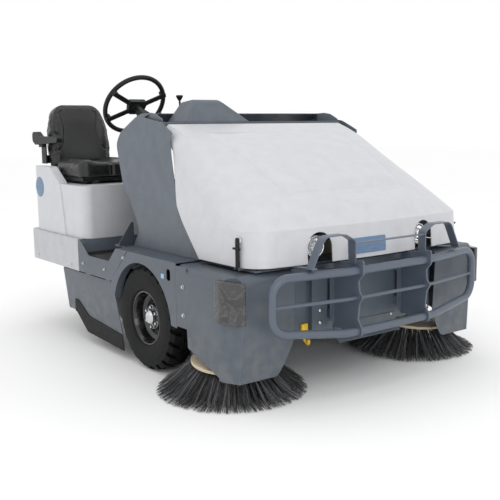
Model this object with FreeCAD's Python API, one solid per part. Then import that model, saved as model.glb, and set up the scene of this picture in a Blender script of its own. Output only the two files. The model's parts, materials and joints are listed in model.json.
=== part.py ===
"""Ride-on sweeper with a high-dump front hopper, as separate named parts.

Millimetres. +Z is up, -Y is the way the machine drives, +X is the driver's left.
Inside this file y = 0 is the front face of the hopper, and every part is moved
by the same amount when it is saved, so that the origin lies on the ground under
the middle of the machine.
"""
import FreeCAD, Part
import math
import os

V = FreeCAD.Vector
X_AXIS = V(1, 0, 0)
Y_AXIS = V(0, 1, 0)
Z_AXIS = V(0, 0, 1)

# ---------------------------------------------------------------- driving sizes
BODY_HALF = 800          # half the width over the deck panels
REAR_Y = 2215            # back face of the machine
DECK_TOP = 600
DECK_BOTTOM = 418
SKIN = 4                 # sheet metal covers
MOULDING = 5             # moulded plastic covers
JOIN = 2                 # visible joint between neighbouring covers
RUN = 0.3                # clearance between pieces that move past each other
SEATED = 0.5             # play where one cover or panel rests on another piece
REACH = 2000             # longer than any cut needs to be

# front wheels
WHEEL_R = 270
WHEEL_Y = 791
FLOOR_Z = 502            # underside of the foot plate
WHEEL_OUT = 785          # outer sidewall
TYRE_W = 160
RIM_R = 134
LUGS = 24
ARCH_R = 292             # wheel opening in the side panel

# rear steered wheel
REAR_WHEEL_R = 250
REAR_WHEEL_Y = 1930
REAR_TYRE_W = 150

# frame
RAIL_X = 470             # inner face of the rails
RAIL_W = 60
RAIL_Z = 422
RAIL_H = 58
UPRIGHT_Y = 910
UPRIGHT_D = 80
BEARER_TOP = 596         # cross bearers under the engine and the tanks
BEARER_Y = (1580, 1800)
HEAD_HALF = 130          # steering head plate

# main broom
BROOM_Y = 1280
BROOM_R = 180
BROOM_HALF = 598
BROOM_GROUND = 4         # gap that keeps the bristle solid off the floor
BROOM_ARM_Y = 1640
BROOM_ARM_Z = 345
DOOR_X = BODY_HALF - 22  # outer face of the doors over the broom ends

# side brooms
SIDE_X = 615
SIDE_Y = 270
SIDE_DISC_R = 190
SIDE_TIP_R = 355
SIDE_DISC_Z = 140        # underside of the disc at the broom's axis
SIDE_TILT = 4            # the front bristles touch first
SIDE_LEAN = 3            # the outer bristles touch before the inner ones
SIDE_ARM_Y = 500
SIDE_ARM_Z = 345

# hopper
ARM_PIVOT_Y = 950
ARM_PIVOT_Z = 900
HOPPER_PIN_Y = 250
HOPPER_PIN_Z = 400
ARM_X = RAIL_X - 45      # inner face of a lift arm
ARM_T = 28
BIN_HALF = ARM_X - 11
BIN_BACK = 690
BIN_BOTTOM = 262
HOPPER_TOP = 606         # underside of the hood and its seal
TRAY_HALF = 672          # top tray that carries the hood
SEAM_X = 470             # joint between hopper front and corner skirts
SKIRT_TOP = 592
PAD_BOTTOM = 388
PAD_TOP = 572

# hood over the hopper
HOOD_BASE = 614
HOOD_CREASE = 775
HOOD_HINGE_Y = 800
HOOD_HINGE_Z = 1180
LAMP_X = 343
LAMP_Z = 684
LAMP_R = 52
LAMP_FRONT = -14         # front edge of the lamp bowls
LATCH_Y = 80
LATCH_X = 709
LATCH_PIN_Z = 612
RIB_X = 225              # bumper ribs
RIB_T = 8
BUMPER_R = 19
BUMPER_Y = -170
BUMPER_TOP = 582
BUMPER_LOW = 304
BUMPER_MID = 457
BUMPER_FRONT = BUMPER_Y - 34
BUMPER_BACK = 22         # rear bumper strip, past the deck cover

# cowl and controls
COWL_GAP = 8
COWL_SLOPE = 8.4         # the crease climbs towards the driver
PEDAL_Y = 1120
PEDAL_PIN_Z = 526
DRIVE_PEDAL_X = -300
DRIVE_PEDAL_L = 150
BRAKE_PEDAL_X = -560
BRAKE_PEDAL_L = 90
WHEEL_CENTRE = V(-500, 1330, 1350)
WHEEL_LEAN = 55
LEVER_FOOT = V(-350, 1090, 1274)
STEER_R = 176            # to the middle of the rim
STEER_RIM = 13
COLUMN_PIVOT = 190       # from the wheel's centre down the column

# engine hood and seat
HOOD_HALF = 775
ENGINE_FRONT = 1462
ENGINE_BACK = 2158
PLATFORM = 900
WING_TOP = 997
WING_W = 44
HINGE_X = 420            # rear hinges of the engine cover
HINGE_Y = 2190
HINGE_Z = 615
HINGE_HALF = 40
SEAT_FRONT = 1575
SEAT_BACK_Y = 2010
SEAT_W = 420
SEAT_X = -(HOOD_HALF - WING_W - 1 - SEAT_W / 2)
SEAT_DEPTH = 388
CUSHION_Z = 938
CUSHION_H = 90


# ---------------------------------------------------------------- small helpers
def box(x0, x1, y0, y1, z0, z1):
    return Part.makeBox(x1 - x0, y1 - y0, z1 - z0, V(x0, y0, z0))


def rounded_box(x0, x1, y0, y1, z0, z1, radius):
    shape = box(x0, x1, y0, y1, z0, z1)
    return shape.makeFillet(radius, shape.Edges)


def rounded_rim(shape, z, radius):
    """Rounds the edges that lie at one height."""
    rim = [e for e in shape.Edges if abs(e.BoundBox.ZMin - z) < 0.01 and abs(e.BoundBox.ZMax - z) < 0.01]
    return shape.makeFillet(radius, rim)


def rod(start, end, radius):
    along = end - start
    return Part.makeCylinder(radius, along.Length, start, along)


def sleeve(start, end, outer, inner):
    return rod(start, end, outer).cut(rod(start, end, inner))


def join(shapes):
    whole = shapes[0]
    if len(shapes) > 1:
        whole = whole.fuse(shapes[1:])
    return whole.removeSplitter()


def mirrored(shape):
    return shape.mirror(V(0, 0, 0), X_AXIS)


def both_sides(shape):
    return Part.makeCompound([shape, mirrored(shape)])


def corner_wire(corners, place):
    """Closed outline. Each corner is (a, b) or (a, b, radius)."""
    points = [place(c[0], c[1]) for c in corners]
    radii = [c[2] if len(c) > 2 else 0 for c in corners]
    count = len(points)
    starts, ends, arcs = [], [], []
    for i in range(count):
        here = points[i]
        back = points[i - 1] - here
        ahead = points[(i + 1) % count] - here
        back.normalize()
        ahead.normalize()
        angle = back.getAngle(ahead)
        if radii[i] == 0:
            starts.append(here)
            ends.append(here)
            arcs.append(None)
            continue
        reach = radii[i] / math.tan(angle / 2)
        middle = back + ahead
        middle.normalize()
        centre = here + middle * (radii[i] / math.sin(angle / 2))
        inside = here - centre
        inside.normalize()
        starts.append(here + back * reach)
        ends.append(here + ahead * reach)
        arcs.append(centre + inside * radii[i])
    edges = []
    for i in range(count):
        if arcs[i] is not None:
            edges.append(Part.Arc(starts[i], arcs[i], ends[i]).toShape())
        following = starts[(i + 1) % count]
        if (following - ends[i]).Length > 0.001:
            edges.append(Part.LineSegment(ends[i], following).toShape())
    return Part.Wire(edges)


def side_wire(corners, x=0):
    return corner_wire(corners, lambda a, b: V(x, a, b))


def front_wire(corners, y=0):
    return corner_wire(corners, lambda a, b: V(a, y, b))


def plan_wire(corners, z=0):
    return corner_wire(corners, lambda a, b: V(a, b, z))


def side_slab(corners, x0, x1):
    """Outline in the YZ plane, from x0 to x1."""
    return Part.Face(side_wire(corners, x0)).extrude(V(x1 - x0, 0, 0))


def front_slab(corners, y0, y1):
    """Outline in the XZ plane, from y0 to y1."""
    return Part.Face(front_wire(corners, y0)).extrude(V(0, y1 - y0, 0))


def plan_slab(corners, z0, z1):
    """Outline in the XY plane, from z0 to z1."""
    return Part.Face(plan_wire(corners, z0)).extrude(V(0, 0, z1 - z0))


def inset_slab(wire, inset, start, along):
    """An outline drawn in by inset, moved to start and extruded along."""
    face = Part.Face(wire)
    if inset != 0:
        face = face.makeOffset2D(-inset)
    face.translate(start)
    return face.extrude(along)


def turned(profile, centre, axis, degrees=360):
    """Closed outline of V points turned about an axis."""
    edges = []
    for i in range(len(profile)):
        edges.append(Part.LineSegment(profile[i - 1], profile[i]).toShape())
    return Part.Face(Part.Wire(edges)).revolve(centre, axis, degrees)


def disc_part(centre, rings):
    """Solid of revolution about an X axis: rings are (x, radius) pairs."""
    profile = [V(x, centre.y, centre.z + r) for x, r in rings]
    return turned(profile, V(0, centre.y, centre.z), X_AXIS)


def bent_tube(points, radius, bend, closed=False):
    """Round tube along straight runs with an arc at each inner point."""
    edges = []
    start = points[0]
    for i in range(1, len(points) - 1):
        here = points[i]
        back = points[i - 1] - here
        ahead = points[i + 1] - here
        back.normalize()
        ahead.normalize()
        half = back.getAngle(ahead) / 2
        reach = bend / math.tan(half)
        middle = back + ahead
        middle.normalize()
        centre = here + middle * (bend / math.sin(half))
        top = centre + (here - centre).normalize() * bend
        edges.append(Part.LineSegment(start, here + back * reach).toShape())
        edges.append(Part.Arc(here + back * reach, top, here + ahead * reach).toShape())
        start = here + ahead * reach
    edges.append(Part.LineSegment(start, points[-1]).toShape())
    path = Part.Wire(edges)
    ring = Part.Wire([Part.makeCircle(radius, points[0], points[1] - points[0])])
    return path.makePipeShell([ring], True, False)


def hex_bolt(at, along, size=13, height=8):
    """Hexagon head with a washer, standing on the face at the given point."""
    direction = V(along)
    direction.normalize()
    washer = Part.makeCylinder(size * 0.75, 2, at, direction)
    ring = Part.makePolygon(hexagon(at + direction * 2, direction, size / 2))
    head = Part.Face(Part.Wire(ring)).extrude(direction * height)
    return washer.fuse(head).removeSplitter()


def hexagon(centre, direction, inner):
    helper = Z_AXIS if abs(direction.z) < 0.9 else X_AXIS
    first = direction.cross(helper)
    first.normalize()
    second = direction.cross(first)
    outer = inner / math.cos(math.radians(30))
    points = []
    for k in range(7):
        turn = math.radians(60 * k)
        points.append(centre + first * (outer * math.cos(turn)) + second * (outer * math.sin(turn)))
    return points


# ---------------------------------------------------------------- wheels
def tyre(centre_x, centre_y, radius, width, rim_radius):
    """Industrial pneumatic tyre with staggered block lugs."""
    half = width / 2
    centre = V(centre_x, centre_y, radius)
    rings = [
        (-half * 0.72, rim_radius), (-half * 0.94, rim_radius + 14), (-half, rim_radius + 52),
        (-half, radius - 58), (-half * 0.93, radius - 22), (-half * 0.72, radius - 5),
        (-half * 0.30, radius), (half * 0.30, radius), (half * 0.72, radius - 5),
        (half * 0.93, radius - 22), (half, radius - 58), (half, rim_radius + 52),
        (half * 0.94, rim_radius + 14), (half * 0.72, rim_radius),
    ]
    body = disc_part(centre, [(centre_x + x, r) for x, r in rings])
    pitch = 360 / LUGS
    groove = radius * 2 * math.pi / LUGS * 0.30
    cuts = []
    for k in range(LUGS):
        for side in (-1, 1):
            inner = side * half * 0.10
            outer = side * half * 1.10
            slot = box(min(inner, outer), max(inner, outer), -groove / 2, groove / 2, -28, 20)
            slot.rotate(V(0, 0, 0), Z_AXIS, side * 24)
            slot.translate(V(centre_x, centre_y, radius * 2))
            slot.rotate(centre, X_AXIS, pitch * (k + side * 0.25))
            cuts.append(slot)
    rib = disc_part(centre, [(centre_x - 5, radius - 11), (centre_x - 5, radius + 5),
                             (centre_x + 5, radius + 5), (centre_x + 5, radius - 11)])
    return body.cut(cuts + [rib])


def rim(centre_x, centre_y, radius, width, rim_radius, out):
    """Dished steel disc wheel. out is +1 when its open face looks along +X."""
    half = width * 0.36
    seat = rim_radius - 0.2
    rings = [
        (-half, seat), (half, seat), (half + 9, seat + 4), (half + 9, seat - 3),
        (half - 4, seat - 9), (half - 14, seat - 12), (half - 40, seat - 16), (half - 52, seat - 34),
        (half - 52, 76), (half - 30, 62), (half - 30, 34), (half - 38, 34),
        (half - 38, 60), (half - 60, 74), (half - 60, seat - 38), (half - 52, seat - 24),
        (-half, seat - 14),
    ]
    centre = V(centre_x, centre_y, radius)
    body = disc_part(centre, [(centre_x + out * x, r) for x, r in rings])
    holes = []
    for k in range(8):
        hole = rod(V(centre_x - width, centre_y, radius + 88), V(centre_x + width, centre_y, radius + 88), 9)
        hole.rotate(centre, X_AXIS, 45 * k + 22.5)
        holes.append(hole)
    return body.cut(holes)


def hub_cap(centre_x, centre_y, radius, width, out):
    """Silver hub cap and the six wheel nuts round it."""
    face = centre_x + out * (width * 0.36 - 30)
    cap = disc_part(V(face, centre_y, radius), [
        (face, 0), (face, 40), (face + out * 20, 36), (face + out * 26, 28), (face + out * 28, 0)])
    pieces = [cap]
    for k in range(6):
        seat = V(face, centre_y, radius + 51)
        nut = hex_bolt(seat, V(out, 0, 0), 13, 13)
        nut.rotate(V(face, centre_y, radius), X_AXIS, 60 * k)
        pieces.append(nut)
    return Part.makeCompound(pieces)


def hub_motors():
    """Wheel motors of the two driven front wheels, on their brackets."""
    inner = WHEEL_OUT - TYRE_W
    hub_face = WHEEL_OUT - TYRE_W / 2 + TYRE_W * 0.36 - 30
    motor = rod(V(RAIL_X + 12, WHEEL_Y, WHEEL_R), V(inner + 20, WHEEL_Y, WHEEL_R), 78)
    flange = rod(V(inner + 20, WHEEL_Y, WHEEL_R), V(inner + 30, WHEEL_Y, WHEEL_R), 60)
    spindle = rod(V(inner + 30, WHEEL_Y, WHEEL_R), V(hub_face - RUN, WHEEL_Y, WHEEL_R), 33.95)
    bracket = box(RAIL_X, RAIL_X + 12, WHEEL_Y - 90, WHEEL_Y + 90, WHEEL_R - 85, RAIL_Z)
    return both_sides(join([motor, flange, spindle, bracket]))


# ---------------------------------------------------------------- frame
def frame_side():
    """Beams of one side of the frame, each a solid of its own."""
    over = RAIL_Z + RAIL_H + RUN
    under = RAIL_Z - RUN
    out = RAIL_X + RAIL_W
    panel = BODY_HALF - SKIN - SEATED
    hanger = box(RAIL_X, RAIL_X + 12, BROOM_ARM_Y - 30, BROOM_ARM_Y + 30, BROOM_ARM_Z - 30, under)
    hanger = hanger.cut(rod(V(RAIL_X - 5, BROOM_ARM_Y, BROOM_ARM_Z), V(RAIL_X + 40, BROOM_ARM_Y, BROOM_ARM_Z), 20.05))
    ear = box(RAIL_X, RAIL_X + 24, 476, SIDE_ARM_Y + 30, SIDE_ARM_Z - 30, SIDE_ARM_Z + 40)
    ear = ear.cut(rod(V(RAIL_X - 5, SIDE_ARM_Y, SIDE_ARM_Z), V(RAIL_X + 60, SIDE_ARM_Y, SIDE_ARM_Z), 15.05))
    beams = [
        box(RAIL_X, out, 452, 2190, RAIL_Z, RAIL_Z + RAIL_H),
        box(RAIL_X, out, UPRIGHT_Y, UPRIGHT_Y + UPRIGHT_D, over, ARM_PIVOT_Z + 50),
        box(out + RUN, panel, 456, 496, RAIL_Z + 8, RAIL_Z + 48),
        box(panel - 8, panel, 405, 456 - RUN, RAIL_Z + 8, RAIL_Z + 48),
        box(out + RUN, panel, 1460, 1500, RAIL_Z, RAIL_Z + 40),
        box(out + RUN, BODY_HALF - MOULDING - SEATED, 2100, 2140, RAIL_Z, RAIL_Z + 40),
        box(RAIL_X, out, 452, 476 - RUN, SIDE_ARM_Z - 40, under),
        box(RAIL_X, out, REAR_WHEEL_Y - 60, REAR_WHEEL_Y + 60, over, 580),
        rod(V(ARM_X - 6, ARM_PIVOT_Y, ARM_PIVOT_Z), V(RAIL_X - RUN, ARM_PIVOT_Y, ARM_PIVOT_Z), 20),
        box(HEAD_HALF + RUN, RAIL_X - RUN, REAR_WHEEL_Y - 60, REAR_WHEEL_Y + 60, 562, 580),
        hanger, ear,
    ]
    for y in BEARER_Y:
        beams.append(box(RAIL_X, out, y, y + 40, over, BEARER_TOP - 16 - RUN))
    return beams


def main_frame():
    """Rails, uprights, cross members, bearers and the steering head."""
    span = RAIL_X - RUN
    sides = frame_side()
    solids = sides + [mirrored(s) for s in sides]
    for y, depth in ((1060, 20 - RUN), (1545, 50)):
        solids.append(box(-span, span, y, y + depth, RAIL_Z + 6, RAIL_Z + 56))
    solids.append(box(-span, span, 2145, 2190, RAIL_Z, RAIL_Z + RAIL_H))
    solids.append(box(-span, span, 1080, 1120, RAIL_Z + 6, FLOOR_Z - SEATED))
    for y in BEARER_Y:
        solids.append(box(-705, 705, y, y + 40, BEARER_TOP - 16, BEARER_TOP))
    head = box(-HEAD_HALF, HEAD_HALF, REAR_WHEEL_Y - 86, REAR_WHEEL_Y + 86, 562, 590)
    solids.append(head.cut(rod(V(0, REAR_WHEEL_Y, 500), V(0, REAR_WHEEL_Y, 640), 30.05)))
    gusset = front_slab([(660, DECK_TOP), (750, DECK_TOP), (750, 616), (676, 724), (660, 724)], 1094, 1098)
    foot = box(690, 735, 1094, 1160, DECK_TOP, 605)
    gusset = gusset.fuse(foot).removeSplitter()
    return Part.makeCompound(solids + [gusset, mirrored(gusset)])


def rear_fork():
    """Steered fork: a kingpin, a crown plate and two legs."""
    inner = REAR_TYRE_W / 2 + 12
    crown = box(-inner - 14, inner + 14, REAR_WHEEL_Y - 60, REAR_WHEEL_Y + 60, 538, 560)
    leg = side_slab([(REAR_WHEEL_Y - 58, 540), (REAR_WHEEL_Y + 58, 540),
                     (REAR_WHEEL_Y + 36, REAR_WHEEL_R - 36, 30), (REAR_WHEEL_Y - 36, REAR_WHEEL_R - 36, 30)],
                    inner, inner + 14)
    kingpin = rod(V(0, REAR_WHEEL_Y, 560), V(0, REAR_WHEEL_Y, 612), 30)
    collar = rod(V(0, REAR_WHEEL_Y, 592), V(0, REAR_WHEEL_Y, 606), 46)
    axle = rod(V(-inner - 20, REAR_WHEEL_Y, REAR_WHEEL_R), V(inner + 20, REAR_WHEEL_Y, REAR_WHEEL_R), 15)
    return join([crown, leg, mirrored(leg), kingpin, collar, axle])


def rear_rim():
    half = REAR_TYRE_W * 0.36
    seat = RIM_R - 0.2 - 14
    centre = V(0, REAR_WHEEL_Y, REAR_WHEEL_R)
    barrel = [(-half, seat), (half, seat), (half + 8, seat + 3), (half + 8, seat - 4), (half - 8, seat - 12),
              (10, seat - 16), (10, 40), (72, 34), (72, 15.05),
              (-72, 15.05), (-72, 34), (-10, 40), (-10, seat - 16), (-half + 8, seat - 12),
              (-half - 8, seat - 4), (-half - 8, seat + 3)]
    return disc_part(centre, barrel)


# ---------------------------------------------------------------- brooms
def main_broom_arms():
    """Two trailing arms on one cross tube."""
    x = BROOM_HALF + 14
    axis_z = BROOM_R + BROOM_GROUND
    plate = side_slab([(BROOM_Y - 45, axis_z - 40, 30), (BROOM_Y + 45, axis_z - 50, 30),
                       (BROOM_ARM_Y + 34, BROOM_ARM_Z - 28, 24), (BROOM_ARM_Y + 34, BROOM_ARM_Z + 30, 24),
                       (BROOM_ARM_Y - 40, BROOM_ARM_Z + 30, 20), (BROOM_Y - 45, axis_z + 50, 30)], x, x + 12)
    stub = rod(V(BROOM_HALF - 60, BROOM_Y, axis_z), V(x + 4, BROOM_Y, axis_z), 24.95)
    tube = rod(V(-x - 2, BROOM_ARM_Y, BROOM_ARM_Z), V(x + 2, BROOM_ARM_Y, BROOM_ARM_Z), 20)
    return join([tube, plate, mirrored(plate), stub, mirrored(stub)])


def main_broom_core():
    z = BROOM_R + BROOM_GROUND
    return sleeve(V(-BROOM_HALF + 4, BROOM_Y, z), V(BROOM_HALF - 4, BROOM_Y, z), 80, 25)


def main_broom_bristles():
    z = BROOM_R + BROOM_GROUND
    return sleeve(V(-BROOM_HALF, BROOM_Y, z), V(BROOM_HALF, BROOM_Y, z), BROOM_R, 80)


def broom_housing():
    """Tunnel over the main broom, open below, with a rear rubber-lined wall."""
    half = RAIL_X + RAIL_W - 2
    top = box(-half, half, 1082, 1520, RAIL_Z - 8, RAIL_Z)
    front = box(-half, half, 1082, 1086, 250, RAIL_Z - 8)
    back = box(-half, half, 1516, 1520, 60, RAIL_Z - 8)
    return join([top, front, back])


def side_broom_tip(shape):
    """Leans a broom that was built upright about its own centre."""
    centre = V(SIDE_X, SIDE_Y, SIDE_DISC_Z)
    shape.rotate(centre, X_AXIS, SIDE_TILT)
    shape.rotate(centre, Y_AXIS, SIDE_LEAN)
    return shape


def side_broom_disc():
    hub = V(SIDE_X, SIDE_Y, SIDE_DISC_Z)
    disc = Part.makeCylinder(SIDE_DISC_R, 14, hub)
    disc = disc.makeChamfer(2, disc.Edges)
    plate = Part.makeCylinder(78, 6, hub + V(0, 0, 14))
    boss = Part.makeCylinder(34, 20, hub + V(0, 0, 14))
    bore = Part.makeCylinder(16.05, 60, hub - V(0, 0, 10))
    return side_broom_tip(join([disc, plate, boss]).cut(bore))


def side_broom_bristles():
    """Flared ring of bristles, trimmed so that the leaning broom stays off the floor."""
    hub = V(SIDE_X, SIDE_Y, SIDE_DISC_Z)
    drop = 150
    tip = SIDE_TIP_R
    profile = [hub + V(SIDE_DISC_R - 62, 0, -RUN), hub + V(SIDE_DISC_R - 8, 0, -RUN),
               hub + V(SIDE_DISC_R + 30, 0, -30), hub + V((SIDE_DISC_R + tip) / 2 + 20, 0, -78),
               hub + V(tip, 0, -drop + 22), hub + V(tip - 40, 0, -drop),
               hub + V(tip - 120, 0, -drop), hub + V(SIDE_DISC_R - 20, 0, -70)]
    ring = turned(profile, hub, Z_AXIS)
    ring = side_broom_tip(ring)
    floor = box(-REACH, REACH, -REACH, REACH, -REACH, BROOM_GROUND)
    return ring.cut(floor)


def side_broom_arm():
    """Arm with its pivot tube at the back and the broom motor at the front."""
    hub = V(SIDE_X, SIDE_Y, SIDE_DISC_Z)
    motor = Part.makeCylinder(52, 92, hub + V(0, 0, 58))
    flange = Part.makeCylinder(70, 10, hub + V(0, 0, 48))
    shaft = Part.makeCylinder(16, 50, hub + V(0, 0, 0))
    head = join([motor, flange, shaft])
    head = side_broom_tip(head)
    beam = side_slab([(SIDE_Y - 30, 205, 8), (SIDE_Y + 60, 205, 20), (SIDE_ARM_Y + 22, SIDE_ARM_Z - 24, 20),
                      (SIDE_ARM_Y + 22, SIDE_ARM_Z + 24, 20), (SIDE_ARM_Y - 40, SIDE_ARM_Z + 24, 20),
                      (SIDE_Y - 30, 240, 20)], SIDE_X - 80, SIDE_X - 68)
    bridge = box(SIDE_X - 80, SIDE_X - 45, SIDE_Y - 30, SIDE_Y + 30, 206, 218)
    tube = rod(V(RAIL_X - 6, SIDE_ARM_Y, SIDE_ARM_Z), V(SIDE_X - 76, SIDE_ARM_Y, SIDE_ARM_Z), 15)
    return join([head, beam, bridge, tube])


# ---------------------------------------------------------------- deck panels
def wheel_arch_panel():
    """Side panel over the front wheel, with its walkway flange."""
    outer = side_slab([(449, DECK_BOTTOM - 130), (449, DECK_TOP), (914, DECK_TOP), (1105, 424), (1105, 345)],
                      BODY_HALF - SKIN, BODY_HALF)
    arch = rod(V(BODY_HALF - 100, WHEEL_Y, WHEEL_R - 8), V(BODY_HALF + 20, WHEEL_Y, WHEEL_R - 8), ARCH_R)
    slot = side_slab([(497, 506, 14), (533, 506, 14), (533, 562, 14), (497, 562, 14)], 700, 900)
    flange = box(655, BODY_HALF - SKIN, 449, 914, DECK_TOP - SKIN, DECK_TOP)
    lip = sleeve(V(BODY_HALF - 44, WHEEL_Y, WHEEL_R - 8), V(BODY_HALF - SKIN, WHEEL_Y, WHEEL_R - 8),
                 ARCH_R + SKIN, ARCH_R)
    lip = lip.cut(box(0, REACH, -REACH, REACH, -REACH, 330))
    return join([outer.cut([arch, slot]), flange, lip])


def step_panel():
    """Side panel beside the driver's feet, with the step notch."""
    panel = side_slab([(1112, DECK_BOTTOM), (1500, DECK_BOTTOM), (1500, DECK_TOP, 6),
                       (1476, DECK_TOP, 10), (1372, 522, 30), (1127, 522, 30), (1043, DECK_TOP, 10),
                       (920, DECK_TOP)], BODY_HALF - SKIN, BODY_HALF)
    toe = box(BODY_HALF - 42, BODY_HALF - SKIN, 1116, 1500, DECK_BOTTOM, DECK_BOTTOM + SKIN)
    flange = box(655, BODY_HALF - SKIN, 922, 1038, DECK_TOP - SKIN, DECK_TOP)
    shelf = box(655, 740, 1038, 1165, DECK_TOP - SKIN, DECK_TOP)
    return join([panel, toe, flange, shelf])


def operator_floor():
    """Foot plate on the driver's side and the tool box lid beside it."""
    top = FLOOR_Z + 6
    plate = box(-BODY_HALF + SKIN + SEATED, -112, 1112, 1458, FLOOR_Z, top)
    ribs = [box(-BODY_HALF + 60, -160, y, y + 8, top, top + 3) for y in range(1164, 1440, 32)]
    rests = [box(x - 20, x + 20, PEDAL_Y + length / 2 - 12, PEDAL_Y + length / 2 + 12, top, PEDAL_PIN_Z - 8 - RUN)
             for x, length in ((DRIVE_PEDAL_X, DRIVE_PEDAL_L), (BRAKE_PEDAL_X, BRAKE_PEDAL_L))]
    bulkhead = box(-BODY_HALF + SKIN + SEATED, -112, 1458, 1458 + SKIN, FLOOR_Z, DECK_TOP - 1)
    floor = join([plate, bulkhead] + ribs + rests)
    outer = side_slab([(1112, FLOOR_Z), (1458, FLOOR_Z), (1458, 880, 30), (1205, 880, 30), (1112, 760, 20)], -108, 652)
    inner = side_slab([(1117, 400), (1453, 400), (1453, 875, 25), (1208, 875, 25), (1117, 757, 18)], -103, 647)
    return Part.makeCompound([floor, outer.cut(inner)])


def rear_deck_cover():
    """Light grey skirt round the engine bay, ending in the rear bumper face."""
    wall = MOULDING
    outline = [(-BODY_HALF, 1505), (BODY_HALF, 1505), (BODY_HALF, REAR_Y, 70), (-BODY_HALF, REAR_Y, 70)]
    outer = plan_slab(outline, 416, DECK_TOP)
    inner = inset_slab(plan_wire(outline, 0), wall, V(0, 0, 300), V(0, 0, DECK_TOP - wall - 300))
    bay = plan_slab([(-HOOD_HALF + 60, 1400), (HOOD_HALF - 60, 1400), (HOOD_HALF - 60, ENGINE_BACK - 30, 30),
                     (-HOOD_HALF + 60, ENGINE_BACK - 30, 30)], 300, 700)
    front = box(-BODY_HALF + wall, BODY_HALF - wall, 1400, 1512, 300, DECK_TOP - wall)
    shell = outer.cut([inner, bay, front])
    bumper = rounded_box(-640, 640, REAR_Y, REAR_Y + BUMPER_BACK, 440, 560, 8)
    hinges = []
    for x in (-HINGE_X, HINGE_X):
        ears = [box(e, e + 6, HINGE_Y - 9, HINGE_Y + 9, DECK_TOP, HINGE_Z + 9) for e in (x - HINGE_HALF - 6 - RUN, x + HINGE_HALF + RUN)]
        hinges += ears + [rod(V(x - HINGE_HALF - 5, HINGE_Y, HINGE_Z), V(x + HINGE_HALF + 5, HINGE_Y, HINGE_Z), 5)]
    return Part.makeCompound([join([shell] + hinges), bumper])


def body_bolts():
    """Bolts that hold the skirts, panels and doors."""
    heads = []
    for y, z in ((385, 496), (385, 362)):
        heads.append(hex_bolt(V(BODY_HALF, y, z), X_AXIS, 13, 6))
    for y in (960, 1180, 1440):
        heads.append(hex_bolt(V(BODY_HALF, y, 560 if y < 1000 else 470), X_AXIS, 11, 5))
    for y in (1600, 2080):
        heads.append(hex_bolt(V(BODY_HALF, y, 445), X_AXIS, 11, 5))
    return both_sides(Part.makeCompound(heads))


# ---------------------------------------------------------------- corner skirts
def skirt_block(inset):
    """Corner block bounded by a side, a front and a plan outline."""
    side = side_wire([(-40, 60), (REACH, 60), (REACH, SKIRT_TOP), (-24, SKIRT_TOP, 46), (-12, 320), (0, 110)])
    front = front_wire([(SEAM_X, 60), (BODY_HALF, 60), (BODY_HALF, SKIRT_TOP, 40), (SEAM_X, SKIRT_TOP)])
    plan = plan_wire([(SEAM_X, -24), (BODY_HALF - 46, -24, 30), (BODY_HALF, 78, 60), (BODY_HALF, 447), (SEAM_X, 447)])
    across = inset_slab(side, inset, V(0, 0, 0), V(REACH, 0, 0))
    along = inset_slab(front, inset, V(0, -200, 0), V(0, 1200, 0))
    up = inset_slab(plan, inset, V(0, 0, 0), V(0, 0, 900))
    return across.common(along).common(up)


def corner_skirt():
    """Sheet metal corner that covers a side broom."""
    inner = skirt_block(SKIN)
    open_below = box(SEAM_X - 1, BODY_HALF + 1, -60, 460, 0, 112)
    open_behind = front_slab([(SEAM_X - 1, 0), (BODY_HALF - SKIN, 0), (BODY_HALF - SKIN, SKIRT_TOP - SKIN, 40 - SKIN),
                              (SEAM_X - 1, SKIRT_TOP - SKIN)], 110, 450)
    open_inside = skirt_block(SKIN)
    open_inside.translate(V(-30, 0, 0))
    shell = skirt_block(0).cut([inner, open_below, open_behind, open_inside])
    under_side = side_slab([(104, -100), (104, 132), (355, 213, 6), (360, 300), (470, 300), (470, -100)],
                           BODY_HALF - 60, BODY_HALF + 50)
    under_front = front_slab([(SEAM_X - 20, -100), (SEAM_X - 20, 262), (SEAM_X, 262, 20), (SEAM_X + 48, 170, 60),
                              (SEAM_X + 84, 118, 40), (BODY_HALF + 60, 118), (BODY_HALF + 60, -100)], -120, 110)
    shell = shell.cut([under_side, under_front])
    flange = box(BODY_HALF - SKIN, BODY_HALF, 360 - JOIN, 447, 300, 588)
    return shell.fuse(flange).removeSplitter()


def corner_pad():
    """Dark moulded bumper pad that wraps the skirt's corner."""
    grown = 24
    plan = [(BODY_HALF - 44, 0), (BODY_HALF - 44, -22 - grown, 8), (BODY_HALF - 12, -22 - grown, 26),
            (BODY_HALF + grown, 56, 60), (BODY_HALF + grown, 106, 14), (BODY_HALF - 44, 106)]
    block = plan_slab(plan, PAD_BOTTOM, PAD_TOP)
    block = rounded_rim(rounded_rim(block, PAD_TOP, 7), PAD_BOTTOM, 5)
    return block.cut(skirt_block(-RUN))


# ---------------------------------------------------------------- hopper hood
def hood_level(z, half, front, crown, corner):
    """Closed plan outline of the hood at one height, square at the back."""
    back = 1040
    flank = front + crown + corner
    bend = corner * (1 - math.sqrt(0.5))
    edge = half - corner
    left = [V(half, back, z), V(half, flank, z), V(half - bend, front + crown + bend, z), V(edge, front + crown, z)]
    right = [V(-p.x, p.y, z) for p in left]
    edges = [
        Part.LineSegment(right[0], left[0]).toShape(),
        Part.LineSegment(left[0], left[1]).toShape(),
        Part.Arc(left[1], left[2], left[3]).toShape(),
        Part.Arc(left[3], V(0, front, z), right[3]).toShape(),
        Part.Arc(right[3], right[2], right[1]).toShape(),
        Part.LineSegment(right[1], right[0]).toShape(),
    ]
    return Part.Wire(edges)


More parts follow.
